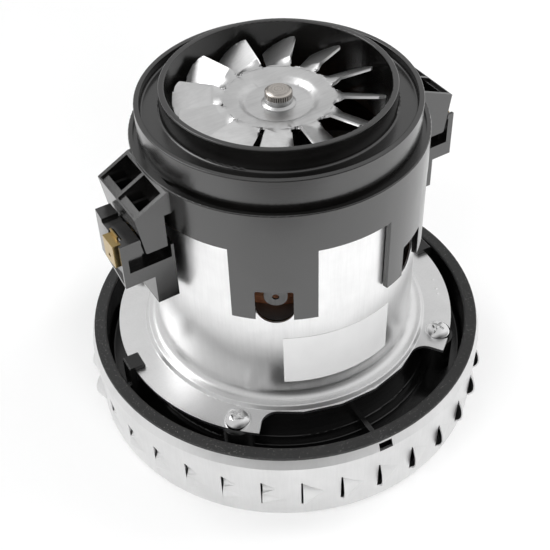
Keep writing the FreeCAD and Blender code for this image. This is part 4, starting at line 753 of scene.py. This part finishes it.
def toward(tree, place, way):
    """How far a place or direction lies along a way."""
    made = add_node(tree, "ShaderNodeVectorMath", operation="DOT_PRODUCT")
    feed(made.inputs[0], place)
    feed(made.inputs[1], way)
    return made.outputs["Value"]


flag = spread(sky, toward(sky, direction, FLAG_WAY), *FLAG_EDGE, to_low=ROOM_LEVEL, to_high=FLAG_LEVEL)
card = spread(sky, toward(sky, direction, CARD_WAY), *CARD_EDGE, to_low=0.0, to_high=CARD_LEVEL)
straight = sums(sky, "MAXIMUM", sky_rays["Is Camera Ray"], sky_rays["Is Transmission Ray"])
mirrored = sums(sky, "MULTIPLY", sky_rays["Is Glossy Ray"], sums(sky, "ADD", flag, card))
unseen = sums(sky, "SUBTRACT", 1.0, sums(sky, "MAXIMUM", straight, sky_rays["Is Glossy Ray"]))
soft_part = sums(sky, "MULTIPLY", unseen, SOFT_LIGHT)
background = add_node(sky, "ShaderNodeBackground")
feed(background.inputs["Color"], WHITE)
feed(background.inputs["Strength"], sums(sky, "ADD", sums(sky, "ADD", straight, mirrored), soft_part))
sky_out = add_node(sky, "ShaderNodeOutputWorld")
feed(sky_out.inputs["Surface"], background.outputs[0])
print("sky:", len(sky.nodes), "nodes, soft light", SOFT_LIGHT)

# %% [markdown]
# ## The floor
#
# The floor is pale matte paper that keeps the motor's shadow. A little glow, for the camera and for
# mirrors only, lifts it to white without more light on the motor. Far from the motor, where the
# lamps don't reach, it glows more, so that it meets the white sky with no line. The table is short
# in front: seen in shiny metal, it falls away into a dark room beyond its edge.

# %% Floor
FLOOR_HALF = 3.0
PAPER = (0.74, 0.74, 0.74, 1.0)
PAPER_ROUGHNESS = 0.9
PAPER_SHINE = 0.1
PAPER_LIFT = 0.26
MIRRORED_LIFT = 0.12
FAR_LIFT = 0.74
FAR_FROM = (0.5, 1.2)
TABLE_EDGE = (0.17, 0.25)
TABLE_DARKEST = 0.95
DARK_ROOM = (0.02, 0.02, 0.02, 1.0)

corners = [(x * FLOOR_HALF, y * FLOOR_HALF, 0) for x, y in ((-1, -1), (1, -1), (1, 1), (-1, 1))]
floor_mesh = bpy.data.meshes.new("studio_floor")
floor_mesh.from_pydata(corners, [], [(0, 1, 2, 3)])
floor = bpy.data.objects.new("studio_floor", floor_mesh)
bpy.context.scene.collection.objects.link(floor)
floor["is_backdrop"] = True
print("floor is", 2 * FLOOR_HALF, "m wide")

# %% Floor paper
floor_paper = bpy.data.materials.new("studio_paper")
floor_paper.use_nodes = True
paper = floor_paper.node_tree
paper_shader = paper.nodes["Principled BSDF"]
feed(paper_shader.inputs["Base Color"], PAPER)
feed(paper_shader.inputs["Roughness"], PAPER_ROUGHNESS)
feed(paper_shader.inputs["Specular IOR Level"], PAPER_SHINE)
feed(paper_shader.inputs["Emission Color"], WHITE)

paper_rays = add_node(paper, "ShaderNodeLightPath").outputs
paper_seen = sums(paper, "MAXIMUM", paper_rays["Is Camera Ray"],
                  sums(paper, "MAXIMUM", paper_rays["Is Glossy Ray"], paper_rays["Is Transmission Ray"]))
floor_place = add_node(paper, "ShaderNodeTexCoord").outputs["Object"]
distance = add_node(paper, "ShaderNodeVectorMath", operation="LENGTH")
feed(distance.inputs[0], floor_place)
far_lift = spread(paper, distance.outputs["Value"], *FAR_FROM, to_low=0.0, to_high=FAR_LIFT)
near_lift = sums(paper, "MULTIPLY", paper_seen, PAPER_LIFT)
lift = sums(paper, "MULTIPLY_ADD", paper_rays["Is Camera Ray"], far_lift, near_lift)
feed(paper_shader.inputs["Emission Strength"],
     sums(paper, "MULTIPLY_ADD", paper_rays["Is Glossy Ray"], MIRRORED_LIFT, lift))

front_way = (-math.sin(CAMERA_PAN), -math.cos(CAMERA_PAN), 0.0)
fall = spread(paper, toward(paper, floor_place, front_way), *TABLE_EDGE, to_low=0.0, to_high=TABLE_DARKEST)
dark_edge = sums(paper, "MULTIPLY", fall, paper_rays["Is Glossy Ray"])
edge_shade = add_node(paper, "ShaderNodeBsdfDiffuse")
feed(edge_shade.inputs["Color"], DARK_ROOM)
paper_blend = add_node(paper, "ShaderNodeMixShader")
feed(paper_blend.inputs[0], dark_edge)
feed(paper_blend.inputs[1], paper_shader.outputs[0])
feed(paper_blend.inputs[2], edge_shade.outputs[0])
feed(paper.nodes["Material Output"].inputs["Surface"], paper_blend.outputs[0])
floor_mesh.materials.append(floor_paper)
print("paper:", len(paper.nodes), "nodes")

# %% [markdown]
# ## The lamps
#
# One soft box stands high behind the motor, where its mirror image falls outside the cover's flat
# tops, and three weak fill lamps stand round the front. A fill lamp isn't mirrored in bright metal,
# because it would show as a hard white square.

# %% Lamps
AIM = Vector((0, 0, 0.06))


def soft_lamp(name, place, size, power, mirrored):
    """A square soft lamp aimed at the motor."""
    data = bpy.data.lights.new(name, "AREA")
    data.shape = "SQUARE"
    data.size = size
    data.energy = power
    lamp = bpy.data.objects.new(name, data)
    lamp.location = place
    lamp.rotation_mode = "QUATERNION"
    lamp.rotation_quaternion = (AIM - Vector(place)).to_track_quat("-Z", "Y")
    lamp.visible_glossy = mirrored
    bpy.context.scene.collection.objects.link(lamp)
    print(name, "gives", power, "W")


soft_lamp("soft_box", place=(-0.45, 0.64, 1.08), size=0.6, power=3.0, mirrored=True)
soft_lamp("fill_left", place=(-0.75, -0.35, 0.85), size=0.6, power=4.0, mirrored=False)
soft_lamp("fill_right", place=(0.85, -0.15, 0.6), size=0.5, power=4.0, mirrored=False)
soft_lamp("fill_front", place=(-0.1, -0.95, 0.55), size=0.5, power=4.0, mirrored=False)
bpy.context.scene.view_settings.view_transform = "Standard"

dressed_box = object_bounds()
for label, box in (("cad", cad_box), ("dressed", dressed_box)):
    print(label, [round(c / MM, 2) for corner in box for c in corner])
